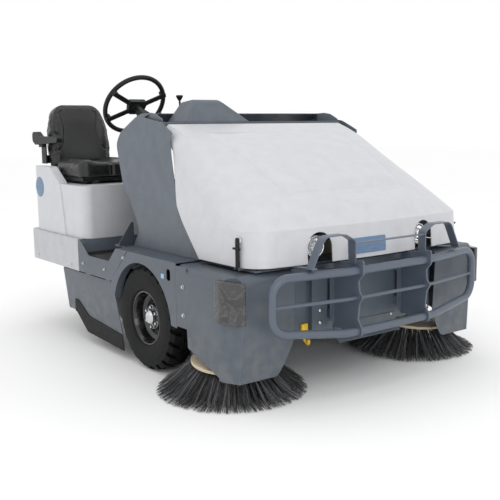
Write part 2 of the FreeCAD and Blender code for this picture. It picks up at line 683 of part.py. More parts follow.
def hood_profile(inset, back_grow):
    """Side outline of the hood: nose, long sloping top and the slanted rear edge."""
    top = [V(0, -90, 640), V(0, -75, 800), V(0, 52, 872), V(0, 205, 975),
           V(0, 380, 1062), V(0, 600, 1154), V(0, 832, 1238)]
    top = [V(0, p.y, p.z - inset) for p in top]
    curve = Part.BSplineCurve()
    curve.interpolate(top[2:])
    rear = [(832 + back_grow, 1238 - inset), (832 + back_grow, 1192), (712 + back_grow, 1105),
            (660 + back_grow, 990), (600 + back_grow, 850), (500 + back_grow, 730), (400 + back_grow, HOOD_BASE)]
    points = [V(0, y, z) for y, z in rear] + [V(0, -120, HOOD_BASE), V(0, -120, 820 - inset), top[2]]
    edges = [curve.toShape()]
    here = top[-1]
    for point in points:
        if (point - here).Length > 0.01:
            edges.append(Part.LineSegment(here, point).toShape())
        here = point
    return Part.Wire(edges)


def hood_body(inset):
    """Lofted walls of the hood, cut to the side outline."""
    levels = [
        (HOOD_CREASE, 700, -55, 40, 140), (830, 694, -14, 58, 190), (900, 681, 48, 72, 250),
        (1000, 658, 196, 80, 262), (1115, 633, 392, 72, 250), (1250, 604, 668, 60, 240),
    ]
    rings = [hood_level(z, half - inset, front + inset, crown, corner)
             for z, half, front, crown, corner in levels]
    upper = Part.makeLoft(rings, True, False)
    foot = [hood_level(HOOD_BASE - 40, 700 - inset, -68 + inset, 40, 128),
            hood_level(HOOD_CREASE, 700 - inset, -55 + inset, 40, 140)]
    lower = Part.makeLoft(foot, True, True)
    return lower.fuse(upper)


def hopper_hood():
    outer_side = Part.Face(hood_profile(0, 0))
    outer_side.translate(V(-REACH / 2, 0, 0))
    outer = hood_body(0).common(outer_side.extrude(V(REACH, 0, 0)))
    inner_side = Part.Face(hood_profile(MOULDING, 60))
    inner_side.translate(V(-REACH / 2, 0, 0))
    core = hood_body(MOULDING).common(inner_side.extrude(V(REACH, 0, 0)))
    below = core.copy()
    below.translate(V(0, 0, -20))
    shell = outer.cut([core, below])
    lamps = []
    for x in (LAMP_X, -LAMP_X):
        lamps.append(rod(V(x, -200, LAMP_Z), V(x, 120, LAMP_Z), LAMP_R + 17))
        lamps.append(box(x - LAMP_R - 17, x + LAMP_R + 17, -200, 120, 500, LAMP_Z))
    shell = shell.cut(lamps)
    knuckles = []
    for x in (-420, 420):
        knuckles.append(rod(V(x - 40, HOOD_HINGE_Y, HOOD_HINGE_Z), V(x + 40, HOOD_HINGE_Y, HOOD_HINGE_Z), 11))
        knuckles.append(box(x - 40, x + 40, HOOD_HINGE_Y - 9, HOOD_HINGE_Y + 9, HOOD_HINGE_Z, 1219))
    bore = rod(V(-600, HOOD_HINGE_Y, HOOD_HINGE_Z), V(600, HOOD_HINGE_Y, HOOD_HINGE_Z), 6.05)
    keeper = latch_keeper()
    return join([shell, keeper, mirrored(keeper)] + knuckles).cut(bore)


def headlamp_housing(x):
    """Round lamp bezel in a black arched backing plate."""
    front = LAMP_FRONT
    arch = front_slab([(x - LAMP_R - 14, HOPPER_TOP), (x + LAMP_R + 14, HOPPER_TOP),
                       (x + LAMP_R + 14, LAMP_Z + LAMP_R + 14, 50), (x - LAMP_R - 14, LAMP_Z + LAMP_R + 14, 50)],
                      front + 42, front + 50)
    bowl = rod(V(x, front, LAMP_Z), V(x, front + 42, LAMP_Z), LAMP_R)
    bowl = bowl.cut(rod(V(x, front - 1, LAMP_Z), V(x, front + 30, LAMP_Z), LAMP_R - 6))
    return bowl.fuse(arch).removeSplitter()


def headlamp_lens(x):
    face = Part.makeSphere(120, V(x, LAMP_FRONT + 104, LAMP_Z))
    disc = rod(V(x, LAMP_FRONT - 16, LAMP_Z), V(x, LAMP_FRONT + 29, LAMP_Z), LAMP_R - 6 - RUN)
    return disc.common(face)


def name_plate():
    """Blank plate on the nose, tilted to lie on the hood."""
    plate = front_slab([(-182, 634, 8), (58, 634, 8), (58, 708, 8), (-182, 708, 8)], -82, -50)
    face = hood_body(0)
    face.translate(V(0, -3, 0))
    hollow = hood_body(0)
    hollow.translate(V(0, -RUN, 0))
    return plate.common(face).cut(hollow)


# ---------------------------------------------------------------- hopper
def bin_walls():
    """Plates of the debris bin, with a mouth to the broom at the back."""
    low, top = BIN_BOTTOM, HOPPER_TOP - 8 - RUN
    half = BIN_HALF - SKIN - RUN
    front, bend = 26, 30
    outline = [(front, top), (front, low + bend, 10), (front + 64, low, 10), (BIN_BACK, low), (BIN_BACK, top)]
    side = side_slab(outline, BIN_HALF - SKIN, BIN_HALF)
    edge = BIN_BACK - SKIN
    plates = [
        side, mirrored(side),
        box(-half, half, front, front + SKIN, low + bend + SKIN, top),
        side_slab([(front, low + bend + SKIN - RUN), (front + 64, low), (front + 64, low + SKIN), (front + SKIN, low + bend + SKIN - RUN)],
                  -half, half),
        box(-half, half, front + 64 + RUN, BIN_BACK, low, low + SKIN),
        box(-half, half, edge, BIN_BACK, low + SKIN + RUN, low + 60),
        box(-half, half, edge, BIN_BACK, 480, top),
    ]
    for x in (-half, half - 26):
        plates.append(box(x, x + 26, edge, BIN_BACK, low + 60 + RUN, 480 - RUN))
    return plates


def hopper_tray():
    """Top frame round the filter, which the hood closes down on."""
    low = HOPPER_TOP - 8
    mouth_half, mouth_front, mouth_back = BIN_HALF - 60, 180, 560
    strips = [box(-TRAY_HALF, TRAY_HALF, 2, mouth_front - RUN, low, HOPPER_TOP),
              box(-BIN_HALF, BIN_HALF, mouth_back + RUN, BIN_BACK, low, HOPPER_TOP)]
    near = box(mouth_half, TRAY_HALF, mouth_front, 380, low, HOPPER_TOP)
    far = box(mouth_half, BIN_HALF, 380 + RUN, mouth_back, low, HOPPER_TOP)
    return strips + [near, mirrored(near), far, mirrored(far)]


def hopper_bin():
    """Debris bin, its top tray and the posts that carry the hood's hinge bar."""
    bar = rod(V(-470, HOOD_HINGE_Y, HOOD_HINGE_Z), V(470, HOOD_HINGE_Y, HOOD_HINGE_Z), 6)
    hole = rod(V(-480, HOOD_HINGE_Y, HOOD_HINGE_Z), V(480, HOOD_HINGE_Y, HOOD_HINGE_Z), 6.05)
    base = HOPPER_TOP + RUN
    solids = bin_walls() + hopper_tray() + [bar]
    for x in (-340, 340):
        leg = side_slab([(562, base), (602, base), (HOOD_HINGE_Y + 6, 1140),
                         (HOOD_HINGE_Y + 6, HOOD_HINGE_Z + 14, 8), (HOOD_HINGE_Y - 14, HOOD_HINGE_Z + 14, 8),
                         (HOOD_HINGE_Y - 34, 1140)], x - 12, x + 12)
        solids.append(leg.cut(hole))
    for side in (-1, 1):
        solids.append(rod(V(side * (BIN_HALF + RUN), HOPPER_PIN_Y, HOPPER_PIN_Z),
                          V(side * (ARM_X + ARM_T + 6), HOPPER_PIN_Y, HOPPER_PIN_Z), 18))
    ears = latch_ears()
    return Part.makeCompound(solids + ears + [mirrored(ear) for ear in ears])


def hopper_front_panel():
    """Stiffened front wall between the skirts, with its two channels and lower lip."""
    half = SEAM_X - 6
    wall = front_slab([(-half, 268, 20), (-half, HOPPER_TOP - 14), (half, HOPPER_TOP - 14), (half, 268, 20)], 12, 18)
    pieces = [wall]
    for side in (-1, 1):
        a, b = sorted((side * 271, side * 362))
        rail = box(a, b, -14, 12, 290, HOPPER_TOP - 30).cut(box(a + SKIN, b - SKIN, -10, 30, 0, REACH))
        pieces.append(rail)
    lip = side_slab([(12, 300), (12, 251), (-26, 214), (-30, 218), (7, 254), (7, 300)], -205, 205)
    pieces.append(lip)
    spacer = box(-half + 60, half - 60, 18, 26, 400, 440)
    pieces.append(spacer)
    return join(pieces)


def lift_arm():
    """Boxed arm from the frame's upright down to the hopper's pin."""
    top = V(0, ARM_PIVOT_Y, ARM_PIVOT_Z)
    low = V(0, HOPPER_PIN_Y, HOPPER_PIN_Z)
    slope = math.atan2(top.z - low.z, top.y - low.y)
    length = (top - low).Length
    arm = side_slab([(-45, -38, 36), (length + 45, -38, 36), (length + 45, 38, 36), (-45, 38, 36)],
                    ARM_X, ARM_X + ARM_T)
    arm.rotate(V(0, 0, 0), X_AXIS, math.degrees(slope))
    arm.translate(V(0, low.y, low.z))
    bores = [rod(V(ARM_X - 9, top.y, top.z), V(ARM_X + 90, top.y, top.z), 20.05),
             rod(V(ARM_X - 9, low.y, low.z), V(ARM_X + 90, low.y, low.z), 18.05)]
    return arm.cut(bores)


def lift_arms():
    """Both arms, tied by a cross tube behind the bin."""
    middle_y = ARM_PIVOT_Y - 110
    slope = (ARM_PIVOT_Z - HOPPER_PIN_Z) / (ARM_PIVOT_Y - HOPPER_PIN_Y)
    middle_z = ARM_PIVOT_Z - 110 * slope
    tie = rod(V(-ARM_X - 4, middle_y, middle_z), V(ARM_X + 4, middle_y, middle_z), 24)
    return join([lift_arm(), mirrored(lift_arm()), tie])


def dust_filter():
    """Pleated panel filter lying in the hopper's top frame."""
    frame = box(-BIN_HALF + 50, BIN_HALF - 50, 172, 556, HOPPER_TOP + SEATED, HOPPER_TOP + 61)
    pleats = [box(-BIN_HALF + 62, BIN_HALF - 62, y, y + 6, HOPPER_TOP + 49, HOPPER_TOP + 70)
              for y in range(184, 540, 12)]
    return frame.cut(pleats)


def safety_hook():
    """Yellow prop hook that hangs under the hopper's front edge."""
    stem = bent_tube([V(-393, 5, 322), V(-393, 5, 255), V(-393, -26, 236), V(-393, -26, 262)], 7, 9)
    plate = box(-411, -375, 1, 11.7, 296, 330)
    return plate.fuse(stem).removeSplitter()


# ---------------------------------------------------------------- bumper
def bumper_ribs():
    """Two upright plates with an edge that swells round each tube."""
    front = BUMPER_Y - 28
    rib = side_slab([(-15, 292, 6), (-15, 604, 6), (-80, 612, 10), (front - 6, 632, 12), (front - 6, 566, 20),
                     (front + 24, 534, 20), (front + 18, 486, 20), (front - 4, 462, 14), (front + 18, 430, 20),
                     (front + 26, 356, 20), (front, 322, 20), (front, 282, 16), (-120, 276, 16), (-60, 296, 10)],
                    RIB_X - RIB_T / 2, RIB_X + RIB_T / 2)
    foot = box(RIB_X - 26, RIB_X + 26, -14.3, -8, 330, 560)
    link = box(RIB_X - RIB_T / 2, RIB_X + RIB_T / 2, -16, -8, 330, 560)
    stand = box(RIB_X - 26, RIB_X + 26, -8, 12 - RUN, 340, 380)
    upper = box(RIB_X - 26, RIB_X + 26, -8, 12 - RUN, 510, 550)
    return both_sides(join([rib, foot, link, stand, upper]))


def bumper_tubes():
    """Middle bars and one swept loop each side, with its mid bar."""
    inner = RIB_X + RIB_T / 2
    wing_y = -98
    outer_x = 662
    end = 80
    rise = 38                # the low bar climbs towards its outer end
    start = RIB_X - RIB_T
    loop = bent_tube([V(start, BUMPER_Y, BUMPER_TOP), V(inner + 70, BUMPER_Y + 8, BUMPER_TOP),
                      V(outer_x, wing_y, BUMPER_TOP), V(outer_x, wing_y, BUMPER_LOW + rise),
                      V(inner + 70, BUMPER_Y + 8, BUMPER_LOW), V(start, BUMPER_Y, BUMPER_LOW)], BUMPER_R, end)
    bar = bent_tube([V(start, BUMPER_Y + 4, BUMPER_MID), V(inner + 70, BUMPER_Y + 10, BUMPER_MID),
                     V(outer_x - 4, wing_y, BUMPER_MID)], 8.5, 120)
    wing = loop.fuse(bar).removeSplitter().common(box(inner, REACH, -REACH, 0, 0, REACH))
    middle = [rod(V(-inner + RIB_T, BUMPER_Y, z), V(inner - RIB_T, BUMPER_Y, z), r)
              for z, r in ((BUMPER_TOP, BUMPER_R), (BUMPER_LOW, BUMPER_R), (BUMPER_MID, 8.5))]
    return Part.makeCompound([wing, mirrored(wing)] + middle)


def lamp_guards():
    """Flat bar hoops over the headlamps, tied by a strip."""
    t = 5
    inner_x = RIB_X + RIB_T / 2
    outer = [(inner_x, 612), (inner_x, 716, 26), (RIB_X + 66, 750, 40), (RIB_X + 190, 750, 50),
             (RIB_X + 262, 612)]
    hoop = front_wire(outer, -160)
    ring = inset_slab(hoop, 0, V(0, 0, 0), V(0, 46, 0)).cut(inset_slab(hoop, t, V(0, -5, 0), V(0, 60, 0)))
    ring = ring.cut(box(inner_x + t, RIB_X + 252, -200, 0, 600, 620))
    foot = box(RIB_X + 236, RIB_X + 266, -160, -114, 612, 617)
    leg = side_slab([(-115, 612), (-115, 617), (-30, 611), (2, 611), (2, HOPPER_TOP), (-30, HOPPER_TOP)],
                    RIB_X + 236, RIB_X + 266)
    tie = box(-inner_x, inner_x, -158, -134, 700, 705)
    return join([ring, mirrored(ring), foot, mirrored(foot), leg, mirrored(leg), tie])


# ---------------------------------------------------------------- latches
def draw_latch():
    """Rubber draw latch with a T-handle, swinging on a pin at its foot."""
    strap = side_slab([(-12, LATCH_PIN_Z), (12, LATCH_PIN_Z), (12, 748, 10), (-12, 748, 10)], LATCH_X - 3, LATCH_X + 3)
    foot = rod(V(LATCH_X, -12, LATCH_PIN_Z), V(LATCH_X, 12, LATCH_PIN_Z), 5)
    pin = rod(V(LATCH_X, -18, LATCH_PIN_Z), V(LATCH_X, 18, LATCH_PIN_Z), 3)
    tee = rod(V(LATCH_X + 5, -24, 700), V(LATCH_X + 5, 24, 700), 5)
    handle = join([strap, foot, pin, tee])
    handle.translate(V(0, LATCH_Y, 0))
    return handle


def latch_ears():
    """Ears on the hopper's top frame that carry the latch pins."""
    ears = []
    base = HOPPER_TOP + RUN
    for y in (LATCH_Y - 18, LATCH_Y + 12 + RUN):
        ear = box(TRAY_HALF - 22, LATCH_X + 6, y, y + 6 - RUN, base, LATCH_PIN_Z + 5)
        hole = rod(V(LATCH_X, y - 2, LATCH_PIN_Z), V(LATCH_X, y + 8, LATCH_PIN_Z), 3.05)
        ear = ear.cut(hole.fuse(box(TRAY_HALF - 30, 701, y - 2, y + 8, base + 5, base + 30)))
        ears.append(ear)
    return ears


def latch_keeper():
    """Hook on the hood that the strap's top end pulls over."""
    return box(698, LATCH_X - 3 - RUN, LATCH_Y - 14, LATCH_Y + 14, 728, 744)


# ---------------------------------------------------------------- cowl
def cowl_side():
    front = [(400 + COWL_GAP, DECK_TOP + SEATED), (500 + COWL_GAP, 730), (600 + COWL_GAP, 850), (660 + COWL_GAP, 990, 60),
             (733, 1160, 8), (722, 1196, 8), (938, 1300, 80)]
    back = [(1060, 1296, 60), (1236, 1200, 60), (1268, 1138, 60), (1163, 932, 40), (1080, 832, 60),
            (1020, 712, 30), (1012, 680, 20), (1082, DECK_TOP + SEATED)]
    return front + back


def cowl_section():
    """Half widths at each height, before the whole section is sloped."""
    right = [(664, 400), (672, 600), (681, 880), (655, 1080, 60), (628, 1240, 60), (560, 1330, 30)]
    return right + [(-x, z, *r) for x, z, *r in reversed(right)]


def cowl_block(inset):
    across = inset_slab(side_wire(cowl_side()), inset, V(-REACH / 2, 0, 0), V(REACH, 0, 0))
    along = inset_slab(front_wire(cowl_section()), inset, V(0, 0, 0), V(0, 1600, 0))
    along.rotate(V(0, 850, 880), X_AXIS, COWL_SLOPE)
    return across.common(along)


def cowl():
    inner = cowl_block(MOULDING)
    ahead = inner.copy()
    ahead.translate(V(0, -70, 0))
    below = inner.copy()
    below.translate(V(0, 0, -40))
    corner = inner.copy()
    corner.translate(V(0, -70, -40))
    well_top = side_slab([(600, 1100), (858, 1100), (858, 1250), (1040, 1250), (1040, 1400), (600, 1400)], -600, 600)
    shell = cowl_block(0).cut([inner, ahead, below, corner, well_top])
    dash = box(-700, 700, 858, 1046, 1244, 1250)
    wall = box(-700, 700, 858, 863, 1190, 1246)
    cheeks = [box(x, x + MOULDING, 858, 1040, 1244, 1400) for x in (-600 - MOULDING, 600)]
    lining = [piece.common(cowl_block(0)) for piece in [dash, wall] + cheeks]
    knuckle = WHEEL_CENTRE - steering_axis() * COLUMN_PIVOT
    slot_half = 36
    slot = box(knuckle.x - slot_half, knuckle.x + slot_half, 1090, 1290, 1150, 1330)
    lugs = []
    for x in (knuckle.x - slot_half - 10, knuckle.x + slot_half):
        lugs.append(box(x, x + 10, knuckle.y - 30, knuckle.y + 30, knuckle.z - 60, knuckle.z + 40))
    lugs = [lug.common(cowl_block(0)) for lug in lugs]
    column_bore = rod(knuckle - V(60, 0, 0), knuckle + V(60, 0, 0), 8.05)
    lever_hole = rod(LEVER_FOOT - V(0, 0, 60), LEVER_FOOT + V(0, 0, 60), 15 + RUN)
    return join([shell.cut(slot)] + lining + lugs).cut([column_bore, lever_hole])


def dash_pod():
    """Instrument pod on the dash with a hooded top."""
    pod = side_slab([(864, 1250 + RUN), (1034, 1250 + RUN), (1020, 1354, 16), (900, 1369, 30)], -500, 110)
    ends = front_slab([(-466, 1250 + RUN), (-50, 1250 + RUN), (-232, 1369, 24), (-376, 1369, 20)], 800, 1100)
    return pod.common(ends)


# ---------------------------------------------------------------- controls
def steering_axis():
    lean = math.radians(WHEEL_LEAN)
    return V(0, math.sin(lean), math.cos(lean))


def steering_wheel():
    """Four-spoke wheel with a padded hub, built flat and then leaned."""
    rim_ring = Part.makeTorus(STEER_R, STEER_RIM)
    spokes = []
    for degrees in (28, 152, 208, 332):
        spoke = Part.makeBox(STEER_R - 30, 26, 8, V(30, -13, -30))
        bend = Part.makeBox(34, 26, 34, V(STEER_R - 22, -13, -30))
        bend = bend.common(Part.makeCylinder(STEER_R + 6, 60, V(0, 0, -40)))
        arm = spoke.fuse(bend)
        arm.rotate(V(0, 0, 0), Z_AXIS, degrees)
        spokes.append(arm)
    pad = plan_slab([(-62, -40, 16), (62, -40, 16), (44, 42, 16), (-44, 42, 16)], -32, -6)
    hub = Part.makeCylinder(26, 22, V(0, 0, -48))
    bore = Part.makeCylinder(11.05, 34, V(0, 0, -54))
    wheel = join([rim_ring, pad, hub] + spokes).cut(bore)
    wheel.rotate(V(0, 0, 0), X_AXIS, -WHEEL_LEAN)
    wheel.translate(WHEEL_CENTRE)
    return wheel


def steering_column():
    """Tilting column with a moulded boot and its tilt lever."""
    down = steering_axis() * -1
    shaft = Part.makeCylinder(11, 34, WHEEL_CENTRE + down * 24, down)
    tube = Part.makeCone(24, 34, COLUMN_PIVOT - 52, WHEEL_CENTRE + down * 52, down)
    knuckle_at = WHEEL_CENTRE + down * COLUMN_PIVOT
    knuckle = rod(knuckle_at - V(35, 0, 0), knuckle_at + V(35, 0, 0), 30)
    pin = rod(knuckle_at - V(45, 0, 0), knuckle_at + V(45, 0, 0), 8)
    lever = rod(WHEEL_CENTRE + down * 110, WHEEL_CENTRE + down * 104 + V(110, 0, 6), 5)
    knob = Part.makeSphere(12, WHEEL_CENTRE + down * 104 + V(110, 0, 6))
    return join([shaft, tube, knuckle, pin, lever, knob])


def control_lever():
    """Stem with a mushroom knob, pivoting in a ball above the dash."""
    ball = Part.makeSphere(15, LEVER_FOOT + V(0, 0, 12))
    stem = rod(LEVER_FOOT + V(0, 0, 14), LEVER_FOOT + V(0, 6, 98), 5.5)
    knob_at = LEVER_FOOT + V(0, 6, 94)
    pivot = rod(LEVER_FOOT + V(-17, 0, 12), LEVER_FOOT + V(17, 0, 12), 4)
    neck = Part.makeCone(8, 17, 16, knob_at)
    cap = Part.makeCylinder(19, 12, knob_at + V(0, 0, 16))
    cap = cap.makeFillet(4, cap.Edges)
    return join([ball, pivot, stem, neck, cap])


def pedal(x, width, length):
    """Sprung pedal: a sloping plate that rocks on a pin over the floor."""
    pin_y = PEDAL_Y + length / 2
    plate = side_slab([(PEDAL_Y, 572, 4), (PEDAL_Y + length, 536, 4), (PEDAL_Y + length + 3, 546, 4),
                       (PEDAL_Y + 3, 582, 4)], x - width / 2, x + width / 2)
    arm = box(x - 12, x + 12, pin_y - 8, pin_y + 8, PEDAL_PIN_Z, 558)
    pin = rod(V(x - 12, pin_y, PEDAL_PIN_Z), V(x + 12, pin_y, PEDAL_PIN_Z), 8)
    return join([plate, arm, pin])


# ---------------------------------------------------------------- engine hood and seat
def engine_hood():
    """Cover over the engine, stepped up into a wing each side of the seat."""
    wall = MOULDING
    plan = [(-HOOD_HALF, ENGINE_FRONT, 60), (HOOD_HALF, ENGINE_FRONT, 60), (HOOD_HALF, ENGINE_BACK, 60),
            (-HOOD_HALF, ENGINE_BACK, 60)]
    base = plan_slab(plan, DECK_TOP + SEATED, PLATFORM)
    hollow = inset_slab(plan_wire(plan), wall, V(0, 0, DECK_TOP - 20), V(0, 0, PLATFORM - wall - DECK_TOP + 20))
    wing = side_slab([(1704, DECK_TOP + SEATED), (ENGINE_BACK, DECK_TOP + SEATED), (ENGINE_BACK, WING_TOP, 24),
                      (1904, WING_TOP, 40), (1762, PLATFORM + 4, 60)], HOOD_HALF - WING_W, HOOD_HALF + 6)
    wing_core = side_slab([(1716, DECK_TOP - 20), (ENGINE_BACK - 8, DECK_TOP - 20), (ENGINE_BACK - 8, WING_TOP - 8, 18),
                           (1908, WING_TOP - 8, 36), (1772, PLATFORM, 55)], HOOD_HALF - WING_W + wall, HOOD_HALF + 6 - wall)
    trim = plan_slab([(HOOD_HALF - WING_W - 60, 1600), (HOOD_HALF + 6, 1600), (HOOD_HALF + 6, ENGINE_BACK, 60),
                      (HOOD_HALF - WING_W - 60, ENGINE_BACK)], 500, 1100)
    wing = wing.common(trim)
    outer = join([base, wing, mirrored(wing)])
    shell = outer.cut([hollow, wing_core, mirrored(wing_core)])
    leaves = []
    for x in (-HINGE_X, HINGE_X):
        leaves.append(box(x - HINGE_HALF, x + HINGE_HALF, ENGINE_BACK - 3, HINGE_Y, HINGE_Z - 3, HINGE_Z + 3))
        leaves.append(rod(V(x - HINGE_HALF, HINGE_Y, HINGE_Z), V(x + HINGE_HALF, HINGE_Y, HINGE_Z), 9))
    bore = rod(V(-HOOD_HALF, HINGE_Y, HINGE_Z), V(HOOD_HALF, HINGE_Y, HINGE_Z), 5.05)
    return join([shell] + leaves).cut(bore)


def engine():
    """Block, head, radiator shroud and fan on the rear frame."""
    block = box(-230, 150, 1640, 1880, 612, 800)
    head = box(-200, 120, 1680, 1840, 800, 860)
    sump = box(-200, 120, 1660, 1860, 596, 612)
    radiator = box(180, 214, 1570, 1850, 596, 860)
    fan = sleeve(V(151, 1760, 715), V(176, 1760, 715), 118, 104)
    hub = rod(V(150, 1760, 715), V(176, 1760, 715), 26)
    blades = []
    for k in range(6):
        blade = box(152, 172, 1752, 1768, 715 + 20, 715 + 105)
        blade.rotate(V(0, 1760, 715), X_AXIS, 60 * k)
        blades.append(blade)
    hose = rod(V(140, 1760, 780), V(185, 1760, 780), 18)
    return join([block, head, sump, hub, fan, radiator, hose] + blades)


def tanks():
    """Fuel tank and hydraulic oil tank either side of the engine."""
    fuel = rounded_box(-700, -280, 1530, 1890, BEARER_TOP, 860, 20)
    oil = rounded_box(260, 700, 1530, 1890, BEARER_TOP, 860, 20)
    cap = Part.makeCylinder(34, 20, V(-400, 1600, 860))
    return Part.makeCompound([fuel.fuse(cap).removeSplitter(), oil])


def seat_cushion():
    half = SEAT_W / 2
    pad = plan_slab([(-half, 0, 60), (half, 0, 60), (half - 8, SEAT_DEPTH, 40), (-half + 8, SEAT_DEPTH, 40)],
                    0, CUSHION_H)
    pad = rounded_rim(rounded_rim(pad, CUSHION_H, 24), 0, 8)
    pad.translate(V(SEAT_X, SEAT_FRONT, CUSHION_Z))
    return pad


def seat_back():
    """Backrest, wider at the bolsters and rounded at the top."""
    outline = [(-190, 0, 30), (190, 0, 30), (206, 130, 60), (196, 250, 60), (150, 412, 90), (-150, 412, 90),
               (-196, 250, 60), (-206, 130, 60)]
    back = front_slab(outline, -52, 52)
    bow = side_slab([(-52, 0, 20), (44, 0, 20), (44, 360, 120), (26, 412, 20), (-30, 412, 20), (-52, 300, 200)],
                    -REACH, REACH)
    back = back.common(bow)
    back.rotate(V(0, 0, 0), X_AXIS, -9)
    back.translate(V(SEAT_X, SEAT_BACK_Y + 10, 972))
    return back


def seat_base():
    """Slide rails, pan and the seat-back bracket."""
    rails = [box(SEAT_X + x - 16, SEAT_X + x + 16, SEAT_FRONT + 60, SEAT_BACK_Y, PLATFORM + RUN, PLATFORM + 18)
             for x in (-130, 130)]
    pan = box(SEAT_X - 185, SEAT_X + 185, SEAT_FRONT + 30, SEAT_BACK_Y + 20, PLATFORM + 18, CUSHION_Z - RUN)
    spine = side_slab([(SEAT_BACK_Y - 6, PLATFORM + 18), (SEAT_BACK_Y + 72, PLATFORM + 18),
                       (SEAT_BACK_Y + 128, 1250, 12), (SEAT_BACK_Y + 116, 1256, 4)], SEAT_X - 120, SEAT_X + 120)
    cushion = seat_cushion()
    back = seat_back()
    spine = spine.cut([box(SEAT_X - 300, SEAT_X + 300, 1500, SEAT_BACK_Y + 6, CUSHION_Z - RUN, 1100)])
    grown = back.copy()
    grown.translate(V(0, SEATED, 0))
    lower = back.copy()
    lower.translate(V(0, SEATED, -SEATED))
    spine = spine.cut([grown, lower, cushion])
    arm_post = box(SEAT_X - 222, SEAT_X - 214, SEAT_BACK_Y + 26, SEAT_BACK_Y + 90, 1010, 1152)
    arm_foot = box(SEAT_X - 222, SEAT_X - 100, SEAT_BACK_Y + 80, SEAT_BACK_Y + 90, 1010, 1060)
    arm_pin = rod(V(SEAT_X - 262, SEAT_BACK_Y + 36, 1134), V(SEAT_X - 222, SEAT_BACK_Y + 36, 1134), 8)
    return join(rails + [pan, spine, arm_post, arm_foot, arm_pin])


def armrest():
    """Padded rest on a steel blade, hinged at the seat back."""
    y = SEAT_BACK_Y
    pad = side_slab([(y - 240, 1144, 16), (y + 90, 1126, 30), (y + 130, 1150, 20), (y + 130, 1204, 24),
                     (y + 80, 1206, 24), (y + 30, 1178, 30), (y - 240, 1176, 16)], SEAT_X - 262, SEAT_X - 206 - 20)
    bore = rod(V(SEAT_X - 280, y + 36, 1134), V(SEAT_X - 200, y + 36, 1134), 8.05)
    eye = box(SEAT_X - 250, SEAT_X - 226, y + 10, y + 62, 1112, 1150)
    return pad.fuse(eye).removeSplitter().cut(bore)


# ---------------------------------------------------------------- broom doors
def broom_door():
    """Hinged cover over the end of the main broom."""
    axis_z = DECK_BOTTOM - 5 - RUN
    door = side_slab([(1108, 404), (1108, 330), (1078, 240), (1034, 120), (1024, 66), (1440, 92, 20), (1580, 168, 20),
                      (1706, 168, 10), (1770, 404, 10)], DOOR_X - SKIN, DOOR_X)
    fold = box(DOOR_X - 38, DOOR_X, 1112, 1766, 400, 404)
    ears = [box(DOOR_X - SKIN, DOOR_X, y, y + 60, 404, axis_z) for y in (1160, 1400)]
    hinge = [rod(V(DOOR_X, y, axis_z), V(DOOR_X, y + 60, axis_z), 5) for y in (1160, 1400)]
    return join([door, fold] + ears + hinge)


def door_skirt():
    """Rubber strip along the door's lower edge."""
    return side_slab([(1040, 132), (1436, 162, 20), (1572, 236), (1612, 236), (1612, 164), (1590, 160), (1456, 66, 20),
                      (1022, 48)], DOOR_X, DOOR_X + 5)


# ---------------------------------------------------------------- saving
MIDDLE_Y = (REAR_Y + BUMPER_BACK + BUMPER_FRONT) / 2


def save(name, shape):
    os.makedirs("parts", exist_ok=True)
    shape = shape.copy()
    shape.translate(V(0, -MIDDLE_Y, 0))
    shape.exportStep("parts/" + name + ".step")
    print(name, len(shape.Solids), shape.isValid(), round(shape.Volume / 1e6, 3))


